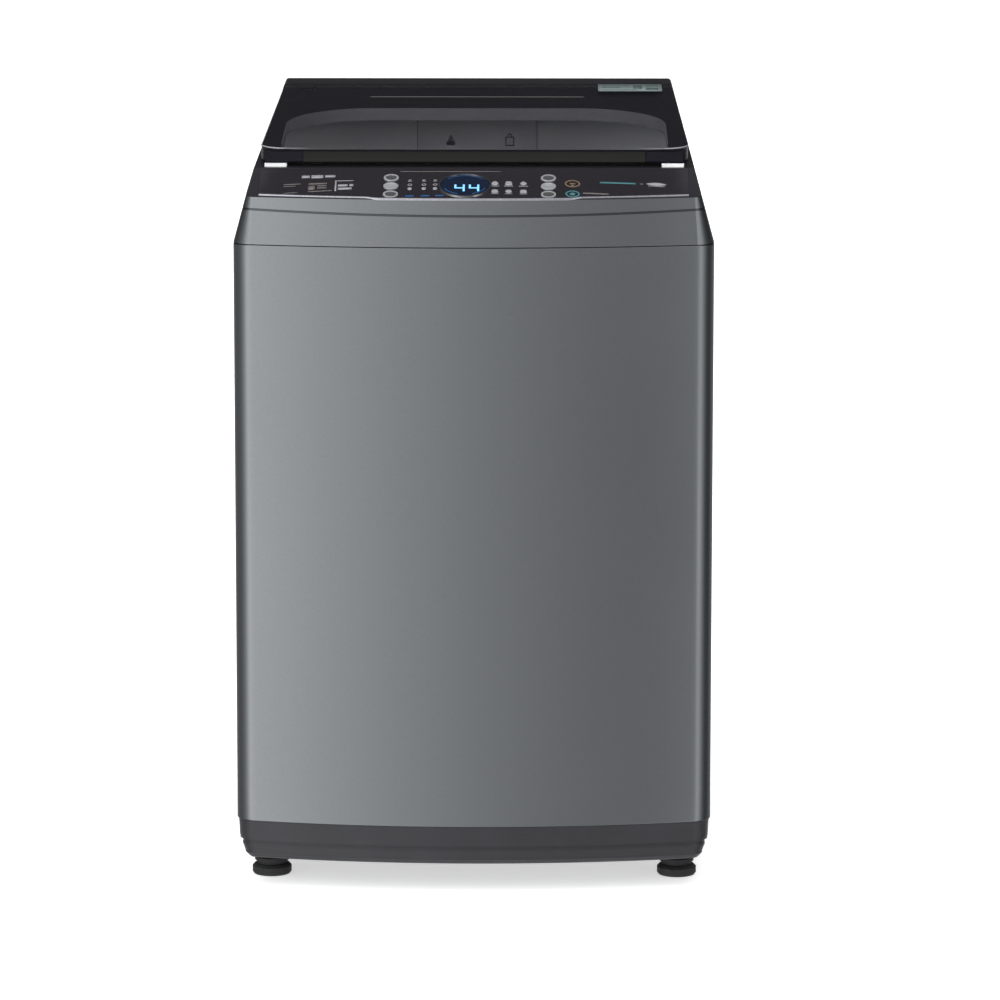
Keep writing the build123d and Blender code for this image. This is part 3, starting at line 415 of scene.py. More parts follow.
def rubbery(name, colour, roughness=0.72):
    """Rubber: matt, slightly dusty, with a fine skin."""
    made, tree, shader = material(name, colour, 0.0, roughness, specular=0.35)
    feed(tree, shader, "Base Color", mottled(tree, noise(tree, 60.0, 6.0), colour, 0.8, 1.5, 0.4, 0.8))
    bumped(tree, shader, noise(tree, 1400.0, 2.0), 0.15, 0.0002)
    return made


def glowing_print(name, colour, strength):
    """A coloured ink with a glow: back-lit print on the panel. On the lid, where no lamp is behind it, the
    glow is painted light, and the panel's ridge line made with it is a painted highlight.
    """
    made, tree, shader = material(name, colour, 0.0, 0.35)
    feed(tree, shader, "Base Color", mottled(tree, noise(tree, 700.0, 2.0), colour, 0.85, 1.1))
    shader.inputs["Emission Color"].default_value = (*colour, 1)
    shader.inputs["Emission Strength"].default_value = strength
    return made


def tinted_glass(name, colour, alpha, roughness=0.03):
    """Tinted safety glass: see-through, with a polished surface and faint smears."""
    made, tree, shader = material(name, colour, 0.0, roughness, 0.3, 0.02, alpha, 0.6)
    smears = noise(tree, 11.0, 5.0, (1, 2, 1))
    feed(tree, shader, "Roughness", spread(tree, smears, roughness * 0.5, roughness * 2.2))
    feed(tree, shader, "Base Color", mottled(tree, smears, colour, 0.95, 1.05))
    return made


PAINT = metallic_paint("cabinet_paint", CABINET_GREY, 0.30)
SHEET_STEEL = metal("galvanised_sheet", (0.42, 0.43, 0.44), 0.42, (1, 1, 1), 30.0)
BASE_GREY = moulded("base_dark_grey", (0.0225, 0.022, 0.0255), 0.45, 700.0, specular=0.32)
BLACK_MOULDED = moulded("black_moulded", (0.022, 0.022, 0.023), 0.5)
PANEL_BLACK = gloss("panel_black", (0.016, 0.014, 0.018), 0.10, 0.8)
LID_BLACK = gloss("lid_black", (0.007, 0.0065, 0.009), 0.2, 0.0, specular=0.3)
GRIP_DARK = gloss("grip_dark_olive", (0.0105, 0.0105, 0.008), 0.4, 0.0, specular=0.14)
CHROME = metal("bright_chrome", (0.80, 0.80, 0.81), 0.10, (1, 1, 1), 60.0, 0.01)
SATIN_CHROME = metal("satin_chrome", (0.37, 0.365, 0.40), 0.34, (4, 1, 1), 120.0, 0.02)
KEY_STEEL = gloss("key_silver_lacquer", (0.34, 0.345, 0.35), 0.3, 0.3, 0.35)
KEY_DARK = gloss("key_dark", (0.06, 0.06, 0.065), 0.2, 0.4)
DRUM_STEEL = metal("basket_steel", (0.78, 0.78, 0.79), 0.36, (1, 1, 40), 60.0, 0.03)
ROD_STEEL = metal("zinc_steel", (0.60, 0.60, 0.58), 0.32, (1, 1, 1), 120.0)
SPRING_DARK = metal("spring_steel", (0.35, 0.35, 0.36), 0.35, (1, 1, 1), 200.0)
CAST_ALLOY = metal("cast_alloy", (0.52, 0.52, 0.53), 0.48, (1, 1, 1), 220.0, 0.18)
MOTOR_PAINT = metallic_paint("motor_enamel", (0.16, 0.17, 0.18), 0.45)
WHITE_PLASTIC = moulded("white_polypropylene", (0.70, 0.71, 0.72), 0.5)
GREY_PLASTIC = moulded("grey_polypropylene", (0.34, 0.345, 0.36), 0.45)
DRAWER_GREY = gloss("drawer_grey", (0.54, 0.535, 0.57), 0.3, 0.3)
NYLON = moulded("natural_nylon", (0.72, 0.71, 0.66), 0.5)
BUFFER_WHITE = moulded("buffer_white", (0.86, 0.86, 0.86), 0.42, 500.0, 0.05)
SIPHON_BLUE = gloss("siphon_blue", (0.05, 0.14, 0.36), 0.2)
BOARD_GREEN = moulded("board_green", (0.03, 0.17, 0.07), 0.4, 300.0)
RUBBER = rubbery("black_rubber", (0.018, 0.018, 0.018))
HOSE_GREY = rubbery("grey_hose", (0.17, 0.175, 0.18), 0.55)
GLASS_TINT = tinted_glass("smoked_glass", (0.010, 0.009, 0.0135), 0.26)
LENS = gloss("display_lens", (0.004, 0.010, 0.028), 0.06, 0.6)
PRINT_WHITE = glowing_print("print_white", (0.27, 0.27, 0.29), 0.08)
# Grey ink, also used for a painted highlight line on the panel.
GREY_PRINT_AND_HIGHLIGHT = glowing_print("grey_print_and_highlight", (0.13, 0.118, 0.115), 0.04)
PRINT_TEAL = glowing_print("print_teal", (0.045, 0.165, 0.18), 0.12)
PRINT_BLUE = glowing_print("print_blue", (0.012, 0.07, 0.20), 0.25)
PRINT_AMBER = glowing_print("print_amber", (0.17, 0.115, 0.07), 0.08)
PLATE_GREEN = glowing_print("plate_grey_green", (0.145, 0.185, 0.178), 0.02)
PLATE_DARK = glowing_print("plate_dark_green", (0.07, 0.095, 0.09), 0.0)
DIGIT_BLUE = glowing_print("digit_blue", (0.17, 0.47, 0.80), 0.9)


def cover_finish(name, colour):
    """Enamel below with painted shade along the crease, black above the panel's lower edge, grey round the
    wash opening.
    """
    made, tree, shader = material(name, colour, 1.0, 0.3)
    shader.inputs["Specular Tint"].default_value = ENAMEL_TINT
    x, y, z = place_of(tree)
    above = within(tree, (z, "GREATER_THAN", PANEL_Z + 0.4 * MM))
    deck = calc(tree, "MULTIPLY_ADD", y, -LID_SLOPE, z)
    deck_level = LID_TOP_Z - LID_FRONT_Y * LID_SLOPE - LID_THICK - 1.4 * MM
    across = calc(tree, "ABSOLUTE", x)
    collar = within(tree, (across, "LESS_THAN", WASH_X), (y, "GREATER_THAN", WASH_FRONT_Y),
                    (y, "LESS_THAN", WASH_BACK_Y), (deck, "LESS_THAN", deck_level))
    bow = calc(tree, "POWER", across, 2.0)
    crease = calc(tree, "MULTIPLY_ADD", bow, 0.5 / CREASE_RADIUS, CREASE_MIDDLE)
    off_crease = calc(tree, "ABSOLUTE", calc(tree, "SUBTRACT", z, crease))
    # Painted shade: a band along the crease is darkened where the groove's shadow falls.
    painted_crease_shade = within(tree, (off_crease, "LESS_THAN", CREASE_SHADE_HALF), (y, "LESS_THAN", CREASE_SHADE_BACK_Y))
    enamel = pick(tree, painted_crease_shade, flakes(tree, colour), shade(colour, 0.42))
    skirt_and_panel = pick(tree, above, enamel, COVER_BLACK)
    feed(tree, shader, "Base Color", pick(tree, collar, skirt_and_panel, COLLAR_GREY))
    plastic = calc(tree, "MAXIMUM", above, collar)
    feed(tree, shader, "Metallic", spread(tree, plastic, 1.0, 0.0))
    orange_peel(tree, shader)
    return made


def lid_frame_finish(name, colour):
    """Black, with the window's walls in grey and a thin grey rim on the faces beside them, a painted
    highlight of their lit edge: those lie within a distance of the corner circles' centres.
    """
    made, tree, shader = material(name, colour, 0.0, 0.35, specular=0.05)
    x, y, _ = place_of(tree)
    past_x = calc(tree, "SUBTRACT", calc(tree, "ABSOLUTE", x), WINDOW_X - WINDOW_R)
    past_y = calc(tree, "SUBTRACT", y, WINDOW_BACK_Y - WINDOW_R)
    squares = [calc(tree, "POWER", calc(tree, "MAXIMUM", past, 0.0), 2.0) for past in (past_x, past_y)]
    reach = calc(tree, "SQRT", calc(tree, "ADD", *squares))
    # Grey reaches 0.6 mm past the walls: a painted highlight rim on the faces next to them.
    walls = within(tree, (reach, "LESS_THAN", WINDOW_R + 0.6 * MM), (y, "GREATER_THAN", WINDOW_FRONT_Y))
    black = mottled(tree, noise(tree, 8.0), colour, 0.9, 1.1)
    feed(tree, shader, "Base Color", pick(tree, walls, black, WINDOW_WALL_GREY))
    feed(tree, shader, "Roughness", spread(tree, noise(tree, 26.0, 6.0), 0.28, 0.42))
    bumped(tree, shader, noise(tree, 300.0, 2.0), 0.03, 0.0002)
    return made


COVER_PAINT = cover_finish("cover_two_tone", CABINET_GREY)
LID_FRAME_BLACK = lid_frame_finish("lid_frame_two_tone", (0.0085, 0.0078, 0.0115))

CAD_FINISHES = {
    "rear_panel": SHEET_STEEL, "rear_panel_screws": ROD_STEEL, "base_guard": BLACK_MOULDED,
    "rear_feet": RUBBER,
    "control_board": BOARD_GREEN, "lid_bumpers": BUFFER_WHITE, "dispenser_housing": GREY_PLASTIC,
    "dispenser_drawer": GREY_PLASTIC, "siphon_cap": SIPHON_BLUE, "inlet_valve": WHITE_PLASTIC,
    "inlet_hose": RUBBER, "lid_frame": LID_FRAME_BLACK, "hinge_pins": ROD_STEEL, "corner_brackets": ROD_STEEL,
    "suspension_rods": ROD_STEEL, "rod_ball_seats": NYLON, "spring_seats": NYLON,
    "suspension_springs": SPRING_DARK, "damper_cups": NYLON, "outer_tub": WHITE_PLASTIC,
    "tub_cover": GREY_PLASTIC, "tub_bearing": ROD_STEEL, "mounting_plate": MOTOR_PAINT, "gearbox": CAST_ALLOY,
    "motor_body": MOTOR_PAINT, "drive_belt": RUBBER, "drain_valve": GREY_PLASTIC, "drain_hose": HOSE_GREY,
    "drain_outlet": GREY_PLASTIC, "cord_gland": RUBBER, "drive_pulley": CAST_ALLOY, "motor_pulley": ROD_STEEL,
    "basket_drum": DRUM_STEEL, "basket_base": WHITE_PLASTIC, "balance_ring": GREY_PLASTIC,
    "basket_hub": CAST_ALLOY, "lint_filters": GREY_PLASTIC, "pulsator": GREY_PLASTIC,
    "pulsator_shaft": ROD_STEEL, "pulsator_cap": CHROME,
    "cabinet_wrap": PAINT, "base_frame": BASE_GREY, "top_cover": COVER_PAINT, "control_fascia": PANEL_BLACK,
    "display_window": LENS, "dial_ring": CHROME, "trim_strip": SATIN_CHROME, "drawer_front": DRAWER_GREY,
    "lid_glass": GLASS_TINT, "lid_handle": GRIP_DARK,
    "left_foot_pad": RUBBER, "right_foot_pad": RUBBER, "left_foot_stud": ROD_STEEL,
    "right_foot_stud": ROD_STEEL,
}
CAD_FINISHES.update({f"button_{k}": KEY_STEEL for k in range(1, 7)})
for node, finish in CAD_FINISHES.items():
    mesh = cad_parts[node].data
    mesh.materials.clear()
    mesh.materials.append(finish)


# ------------------------------------------------------------------ camera, floor and light
def aim(thing, target):
    """Turns a camera or lamp towards a point."""
    way = Vector(target) - thing.location
    thing.rotation_euler = way.to_track_quat("-Z", "Y").to_euler()


def make_camera():
    """A long lens a little above the control panel, nearly square to the front."""
    azimuth, height, distance = math.radians(0.62), math.radians(9.5), 7.0
    target = Vector((0, -0.020, 0.475))
    level = math.cos(height)
    back = Vector((math.sin(azimuth) * level, -math.cos(azimuth) * level, math.sin(height)))
    camera = bpy.data.objects.new("camera", bpy.data.cameras.new("camera"))
    camera.location = target + back * distance
    camera.data.lens, camera.data.sensor_width = 193.6, 36.0
    camera.data.shift_x, camera.data.shift_y = 0.0242, -0.0170
    camera.data.clip_end = 100.0
    aim(camera, target)
    bpy.context.scene.collection.objects.link(camera)
    bpy.context.scene.camera = camera


def make_floor():
    """A wide pale floor: a flat disc."""
    points, quads = turned([(60.0, 0.0), (12.0, 0.0), (4.0, 0.0), (0.02, 0.0)], 0, 0, 64, False)
    mesh = bpy.data.meshes.new("floor")
    mesh.from_pydata((points - [0, 0, 0.5 * MM]).tolist(), [], quads[:, ::-1].tolist())
    floor = bpy.data.objects.new("floor", mesh)
    bpy.context.scene.collection.objects.link(floor)
    made, tree, shader = material("floor_paper", (0.86, 0.86, 0.865), 0.0, 0.75)
    tone = blend_colours(tree, noise(tree, 1.5, 3.0), (0.85, 0.85, 0.855), (0.87, 0.87, 0.875))
    feed(tree, shader, "Base Color", tone)
    shader.inputs["Emission Color"].default_value = (1, 1, 1, 1)
    shader.inputs["Emission Strength"].default_value = 0.56
    mesh.materials.append(made)
    floor.visible_glossy = False


def wall_band(tree, share, stops):
    """One band of the studio wall: its brightness at angles in degrees, 0 straight in front."""
    band = tree.nodes.new("ShaderNodeValToRGB")
    elements = band.color_ramp.elements
    elements[0].position, elements[1].position = 0.0, 1.0
    for angle, _ in stops[1:-1]:
        elements.new((angle + 180) / 360)
    for element, (_, level) in zip(elements, stops):
        element.color = (level * 0.985, level, level * 1.01, 1)
    tree.links.new(share, band.inputs["Fac"])
    return band.outputs["Color"]


def make_world():
    """A curved studio wall, bright to the front left and dimmer to the right, and a pale patch overhead.

    Its low band is pale behind, and its high band is dark there."""
    world = bpy.data.worlds.new("studio")
    world.use_nodes = True
    tree = world.node_tree
    where = tree.nodes.new("ShaderNodeTexCoord")
    way = tree.nodes.new("ShaderNodeSeparateXYZ")
    tree.links.new(where.outputs["Generated"], way.inputs["Vector"])
    forward = calc(tree, "MULTIPLY", way.outputs["Y"], -1.0)
    share = spread_between(tree, calc(tree, "ARCTAN2", way.outputs["X"], forward), -math.pi, math.pi)
    front = [(-86, 0.42), (-62, 1.1), (-46, 2.7), (-33, 2.6), (-24, 1.8), (-15, 1.5), (-9, 1.27), (0, 1.0),
             (9, 0.79), (15, 0.66), (21, 0.56), (28, 0.38), (32, 0.60), (39, 2.0), (50, 1.9), (62, 1.0),
             (80, 0.20)]
    low = [(-180, 1.2), (-150, 1.2), (-122, 0.4)] + front + [(112, 0.16), (146, 1.2), (180, 1.2)]
    high = [(-180, 0.05), (-140, 0.06), (-115, 0.25)] + front + [(110, 0.12), (140, 0.06), (180, 0.05)]
    bands = [wall_band(tree, share, stops) for stops in (low, high)]
    wall = pick(tree, spread_between(tree, way.outputs["Z"], -0.02, 0.10), *bands)
    sky = pick(tree, spread_between(tree, way.outputs["Z"], 0.85, 0.97), wall, (1.0, 1.0, 1.02))
    tree.links.new(sky, tree.nodes["Background"].inputs["Color"])
    bpy.context.scene.world = world


def make_sun():
    """A very wide lamp nearly overhead that lights the floor evenly."""
    lamp = bpy.data.objects.new("overhead", bpy.data.lights.new("overhead", "SUN"))
    lamp.data.energy, lamp.data.angle = 2.0, math.radians(70)
    lamp.rotation_euler = (math.radians(-12), math.radians(-3), 0)
    lamp.visible_glossy = False
    bpy.context.scene.collection.objects.link(lamp)


make_camera()
make_floor()
make_world()
make_sun()
bpy.context.scene.view_settings.view_transform = "Standard"


# ------------------------------------------------------------------ cabinet and base
def cabinet_shell():
    """Bent sheet carried round the plan, with both its edges rolled inwards and a service opening behind."""
    low, high, sheet, hem = CABINET_Z + 0.4 * MM, SEAM_Z - 0.5 * MM, 1.2 * MM, 11 * MM
    outer = rounded([(hem, low), (0, low), (0, high), (hem, high)], 2.0 * MM)
    inner = [(hem, high - sheet), (sheet, high - sheet), (sheet, low + sheet), (hem, low + sheet)]
    profile = np.vstack([outer, inner])
    levels = np.hstack([SERVICE_LOW_Z, ramp(0.2, 0.7, 6), SERVICE_HIGH_Z])
    cut = 1 + np.argmax(np.diff(outer[:, 1]) > 0.3)
    outside = [outer[:cut], stack(0, levels), outer[cut:]]
    inside = [inner[:2], stack(sheet, levels[::-1]), inner[2:]]
    points, quads = wall_round(CABINET_PLAN, np.vstack(outside + inside))
    x, y, z = points[quads].mean(axis=1).T
    service = (y > SERVICE_Y) & (np.abs(x) < SERVICE_X) & (z > SERVICE_LOW_Z) & (z < SERVICE_HIGH_Z)
    make("cabinet_shell", [(points, quads[~service])], PAINT, "cabinet", ["cabinet_wrap"])


def seam_shade_strip():
    """A thin dark strip carried round the plan between the cabinet's lower edge and the base: painted shade
    where the gap's shadow falls.
    """
    section = np.array([(2.7, 80.9), (2.7, 84.4), (5.5, 84.4), (5.5, 80.9)]) * MM
    make("seam_shade_strip", [wall_round(CABINET_PLAN, section)], BLACK_MOULDED, "cabinet")


def base_skirt():
    """Moulded base carried round the plan: upper band, ridge, lower band and a rounded foot edge."""
    outer = [(34, 35), (15.5, 35), (11, 40), (6.2, 53), (8.2, 60.4), (3.6, 61), (2.9, 64), (2.3, 80.4),
             (5.6, 81.0), (5.6, 84.4), (9, 84.4)]
    outer = rounded(np.array(outer) * MM, np.array([0, 6, 6, 4, 0.5, 1.2, 2, 0.8, 0.5, 0, 0]) * MM, 5)
    inner = np.array([(9, 64), (14, 60), (18, 44), (34, 39)]) * MM
    skins = [wall_round(CABINET_PLAN, np.vstack([outer, inner]))]
    make("base_skirt", skins, BASE_GREY, "cabinet", crease=50)


cabinet_shell()
base_skirt()
seam_shade_strip()


# ------------------------------------------------------------------ control panel
def panel_edge(x):
    """Depth of the slope's bowed lower edge: circle centre - sqrt(radius^2 - x^2)."""
    return FRONT_CENTRE_Y - np.sqrt(PANEL_R ** 2 - x ** 2)


def panel_height(x, y):
    """Height of the slope: straight lines in depth and height from the bowed edge to the upper edge."""
    low = panel_edge(x)
    return PANEL_Z + (y - low) / (PANEL_TOP_Y - low) * (PANEL_TOP_Z - PANEL_Z)


def panel_frame(x, step):
    """Origin and axes of a place on the slope: across, up the slope, and outwards."""
    low = float(panel_edge(x))
    lean = math.atan2(PANEL_TOP_Z - PANEL_Z, PANEL_TOP_Y - low)
    up, out = np.array([0, math.cos(lean), math.sin(lean)]), np.array([0, -math.sin(lean), math.cos(lean)])
    return np.array([x, low, PANEL_Z]) + step * up, np.array([1.0, 0, 0]), up, out


def laid_on_surface(name, shapes, finish, body="cabinet", lift=0.35 * MM, surface=None):
    """Ink, and one painted highlight line, on a surface: plan grids (x, y) in millimetres laid on it and
    lifted by the ink's thickness.
    """
    surface = surface or panel_height
    skins = []
    for x, y in shapes:
        x, y = x * MM, y * MM
        skins.append(skin(stack(x, y, surface(x, y) + lift), flip=turns_down(x, y)))
    return thickened(make(name, skins, finish, body, outward=False, weld=1e-7), 0.2 * MM, -1)


def turns_down(x, y):
    """True where a plan grid's quads run clockwise: the sign of the first cell's cross product."""
    down, over = (x[1, 1] - x[0, 0], y[1, 1] - y[0, 0]), (x[0, 1] - x[1, 0], y[0, 1] - y[1, 0])
    return bool(down[0] * over[1] - down[1] * over[0] < 0)


def thickened(piece, amount, side):
    """A sheet given its thickness on one side of its surface (-1 below, 1 above)."""
    wall = piece.modifiers.new("thickness", "SOLIDIFY")
    wall.thickness, wall.offset = amount, side
    return piece


def bar(x0, x1, y0, y1):
    """A rectangle in plan."""
    return np.meshgrid(ramp(x0, x1, max(2, int(abs(x1 - x0) / 8) + 2)), ramp(y0, y1, 2), indexing="ij")


def ring(x, y, r, width, squash=1.0, start=0, end=360):
    """A ring or arc in plan: radius from r - width to r, angle from start to end."""
    angle, radius = np.meshgrid(np.radians(ramp(end, start, 33)), ramp(r - width, r, 2), indexing="ij")
    return x + radius * np.cos(angle), y + squash * radius * np.sin(angle)


def blob(x, y, half_x, half_y, power=2.0, taper=0.0):
    """A filled rounded shape: superellipse of a power, narrowed towards its top by a taper."""
    angle, share = np.meshgrid(np.radians(ramp(360, 0, 29)), ramp(0.02, 1, 2), indexing="ij")
    c, s = np.cos(angle), np.sin(angle)
    across = np.sign(c) * np.abs(c) ** (2 / power) * share
    along = np.sign(s) * np.abs(s) ** (2 / power) * share
    return x + half_x * across * (1 - taper * (along + 1) / 2), y + half_y * along


def digit(x, y, width, depth, strokes, thick=2.0):
    """A seven-segment figure from the strokes that are lit, each one a bar."""
    left, right, middle, top = x - width / 2, x + width / 2, y + depth / 2, y + depth
    places = {"a": (left, right, top - thick, top), "d": (left, right, y, y + thick),
              "g": (left, right, middle - thick / 2, middle + thick / 2),
              "b": (right - thick, right, middle, top), "c": (right - thick, right, y, middle),
              "f": (left, left + thick, middle, top), "e": (left, left + thick, y, middle)}
    return [bar(*places[stroke]) for stroke in strokes]


def panel_print_and_ridge_highlight():
    """All ink of the control panel: marks, icon columns and indicator bars, and one thin grey line that is a
    painted highlight of the panel's upper ridge.
    """
    white = [bar(-215, -205, -239.5, -234), bar(-203, -188, -240.5, -233.5), bar(-186, -173, -239, -234)]
    white += [bar(-173, -171, -273, -247), bar(-171, -150, -249, -247.5), bar(-169, -157, -262, -257)]
    white += [bar(-169, -152, -270, -265), bar(-155, -150, -262, -257)]
    white += [blob(227.5, -251.5, 12.5, 3.2, 1.6), bar(217, 238, -256.4, -255.4)]
    for x in (-79.5, -62, -48):
        white += [blob(x, -272, 2.6, 3.4, 3), ring(x, -261.5, 2.8, 1.0), bar(x - 2.4, x + 2.4, -252.5, -251)]
        white += [bar(x - 2.0, x + 2.0, -249.5, -248.2)]
    for x, power in ((26.5, 2.0), (43.5, 4.0), (62, 1.4)):
        white += [blob(x, -258, 5.2, 5.6, power, 0.35), bar(x - 5.8, x + 5.8, -266.2, -264.8)]
        white += [blob(x, -279.5, 4.6, 4.6, 4.0 if power < 3 else 2.0, 0.2)]
        white += [bar(x - 4.6, x + 4.6, -286.8, -285.6)]
    laid_on_surface("panel_marks", white, PRINT_WHITE)
    grey_marks_and_ridge_highlight = [bar(-237, -216, -253.4, -251.8), bar(-237, -222, -257.4, -256.2), bar(-237, -219, -272, -270.8)]
    grey_marks_and_ridge_highlight += [bar(-206, -183, -255, -252), bar(-206, -198, -267, -258), bar(-195, -183, -260, -257.5)]
    grey_marks_and_ridge_highlight += [bar(-195, -183, -265, -262.5), bar(-206, -176, -272, -270.2), bar(135.6, 168, -281.5, -278.5)]
    # Painted highlight: the long thin bar at -226 mm stands for the panel's upper ridge catching light, not
    # ink.
    grey_marks_and_ridge_highlight += [bar(207, 211, -253.4, -251.4), bar(-92, 34, -226.6, -225.2)]
    laid_on_surface("panel_small_marks_and_highlight", grey_marks_and_ridge_highlight, GREY_PRINT_AND_HIGHLIGHT)
    blue = [bar(x - 5.5, x + 5.5, -292.6, -289.6) for x in (-79, -60, -42)]
    laid_on_surface("panel_blue_marks", blue, PRINT_BLUE)
    teal = [bar(157, 202, -253.6, -250.6), ring(123, -283, 9.0, 2.2, 0.95), blob(123, -283, 3.6, 3.4, 2)]
    laid_on_surface("panel_teal_marks", teal, PRINT_TEAL)
    amber = [ring(123, -256.5, 9.6, 2.0, 0.95), bar(119.5, 126.5, -258, -255), blob(123, -261.5, 2.0, 1.6)]
    laid_on_surface("panel_amber_marks", amber, PRINT_AMBER)
    figures = digit(-17.5, -281, 13, 18, "bcfg", 2.6) + digit(0.5, -281, 13, 18, "bcfg", 2.6)
    laid_on_surface("display_figures", figures, DIGIT_BLUE, lift=0.95 * MM)
    dial = DIAL_X / MM
    arcs = [ring(dial, -264, 27.5, 1.2, 0.93, 200, 250), ring(dial, -264, 27.5, 1.2, 0.93, 290, 340)]
    arcs += [ring(dial, -264, 27.5, 0.7, 0.93, 40, 140)]
    laid_on_surface("display_arcs", arcs, PRINT_BLUE, lift=0.95 * MM)


def key(number, x, step, bright):
    """A round key: bright rim turned about the slope's normal, with a dished face inside it."""
    origin, across, up, out = panel_frame(x, step)
    rim = [(0.0, -5.7), (9.5, -5.7), (9.5, 0.75), (9.35, 1.15), (8.9, 1.3), (7.2, 1.25), (6.9, 0.9)]
    rim = np.array(rim) * MM
    face = np.array([(6.9, 0.9), (6.6, 0.78), (5.0, 0.62), (2.5, 0.48), (0.0, 0.42)]) * MM
    stem = np.array([(2.5, -5.7), (2.5, -8.7), (0.0, -8.7)]) * MM
    skins = []
    for profile in (rim, face, stem[::-1]):
        angle = (np.arange(48) * TURN / 48)[:, None]
        r, h = profile[:, 0][None, :], profile[:, 1][None, :]
        points = origin + (r * np.cos(angle))[..., None] * across + (r * np.sin(angle))[..., None] * up
        skins.append(skin(points + (h + 0 * angle)[..., None] * out, close_rows=True))
    make(f"key_rim_{number}", [skins[0], skins[2]], KEY_STEEL, f"key_{number}",
         [f"button_{number}"])
    make(f"key_face_{number}", [skins[1]], KEY_STEEL if bright else KEY_DARK, f"key_{number}",
         outward=False)


def keys():
    """The two columns of three keys; the middle key of each is bright all over."""
    places = [(CONTROLS_X + side * KEYS_APART / 2, step) for side in (-1, 1) for step in KEY_STEPS]
    for number, (x, step) in enumerate(places, 1):
        key(number, x, step, number in (2, 5))


# ------------------------------------------------------------------ lid
def lid_height(y):
    """Height of the lid's top plane at a depth."""
    return LID_TOP_Z + (y - LID_FRONT_Y) * LID_SLOPE


def lid_surface(x, y):
    """The lid's top plane over a plan grid."""
    return lid_height(y) + 0 * x


def lid_outline():
    """The lid in plan, anticlockwise: leaning sides, rounded front corners, two hinge notches behind."""
    def half(y):
        return HALF - LEAN * (lid_height(y) - SEAM_Z)
    notch_y, low, high = 226 * MM, 217 * MM, 238 * MM
    r, front = 30 * MM, LID_FRONT_Y
    turn = np.radians(ramp(-90, 0, 13))
    right = [(half(front) - r + r * math.cos(t), front + r + r * math.sin(t)) for t in turn]
    back = [(half(LID_BACK_Y), LID_BACK_Y), (high, LID_BACK_Y), (high, notch_y), (low, notch_y)]
    back += [(low, LID_BACK_Y)]
    side = right + back
    return np.array(side + [(-x, y) for x, y in side[::-1]])


def inset_loop(loop, amount):
    """A closed plan loop moved inwards by an amount along its mitred corner normals."""
    before, after = (np.roll(loop, step, axis=0) - loop for step in (1, -1))
    before /= np.linalg.norm(before, axis=1)[:, None]
    after /= np.linalg.norm(after, axis=1)[:, None]
    left_in, left_out = stack(before[:, 1], -before[:, 0]), stack(-after[:, 1], after[:, 0])
    mitre = left_in + left_out
    return loop + amount * mitre / np.maximum((mitre * left_in).sum(axis=1), 0.3)[:, None]


def pane(name, loop, top, bottom, rim, finish, body, stands_for=()):
    """A flat slab in the lid's plane over a plan loop, with rounded rims, closed by flat faces."""
    quarter = np.radians(ramp(0, 90, 5))
    upper = [(rim * (1 - math.cos(a)), top - rim * (1 - math.sin(a))) for a in quarter]
    lower = [(rim * (1 - math.cos(a)), bottom + rim * (1 - math.sin(a))) for a in quarter[::-1]]
    rings = []
    for inset, level in lower + upper:
        plan = inset_loop(loop, inset)
        rings.append(stack(plan[:, 0], plan[:, 1], lid_height(plan[:, 1]) + level))
    points, quads = skin(np.array(rings).transpose(1, 0, 2), close_rows=True)
    piece = make(name, [(points, quads)], finish, body, stands_for)
    mesh = piece.data
    shell = bmesh.new()
    shell.from_mesh(mesh)
    bmesh.ops.holes_fill(shell, edges=[e for e in shell.edges if e.is_boundary], sides=0)
    bmesh.ops.recalc_face_normals(shell, faces=shell.faces)
    bmesh.ops.triangulate(shell, faces=[f for f in shell.faces if len(f.verts) > 4])
    shell.to_mesh(mesh)
    shell.free()
    mesh.set_sharp_from_angle(angle=math.radians(30))
    return piece


def lid_pieces():
    """Tinted pane, grip with its concave face, and a fine line across the glass, whose faint glow is painted
    light.
    """
    pane("lid_pane", lid_outline(), 0.0, -GLASS, 1.4 * MM, GLASS_TINT, "lid", ["lid_glass"])
    scoop_y, scoop_z, scoop_r = -222, 929, 22.5
    turn = np.radians(ramp(-7.2, -39.5, 14))
    scoop = [(scoop_y + scoop_r * math.cos(t), scoop_z + scoop_r * math.sin(t)) for t in turn]
    section = [(-194.2, 926.4), (-199.0, 926.3)] + scoop + [(-204.5, 913.9), (-203.8, 913.4), (-194.2, 913.4)]
    section = np.array(section) * MM
    x = ramp(-214.6, 214.6, 60)[:, None] * MM
    points = stack(x + 0 * section[None, :, 0], section[None, :, 0], section[None, :, 1])
    caps = [lid_of(points[0], True), lid_of(points[-1])]
    skins = [skin(points, close_columns=True)] + caps
    make("lid_grip", skins, GRIP_DARK, "lid", ["lid_handle"])
    line = [bar(-141, 141, 156.8, 160.0)]
    laid_on_surface("lid_line", line, GREY_PRINT_AND_HIGHLIGHT, "lid", 0.22 * MM, lid_surface)


def drawer_signs():
    """Two plain signs on the dispenser drawer's front: a filled drop and a small bag."""
    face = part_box("drawer_front")[0].y
    drop = [blob(-35, 905, 6.0, 6.5, 2.4, 0.75), blob(-35, 900.5, 6.0, 2.6, 5)]
    bag = [bar(37.2, 38.4, 898, 909), bar(47.6, 48.8, 898, 909), bar(37.2, 48.8, 897, 898.4)]
    bag += [bar(38.2, 47.8, 908, 909.2), ring(43, 909, 3.2, 1.0, 1.4, 0, 180)]
    skins = [skin(stack(x * MM, face - 0.1 * MM, y * MM)) for x, y in drop + bag]
    signs = make("drawer_signs", skins, KEY_DARK, "drawer", outward=False, weld=1e-7)
    thickened(signs, 0.16 * MM, 0)


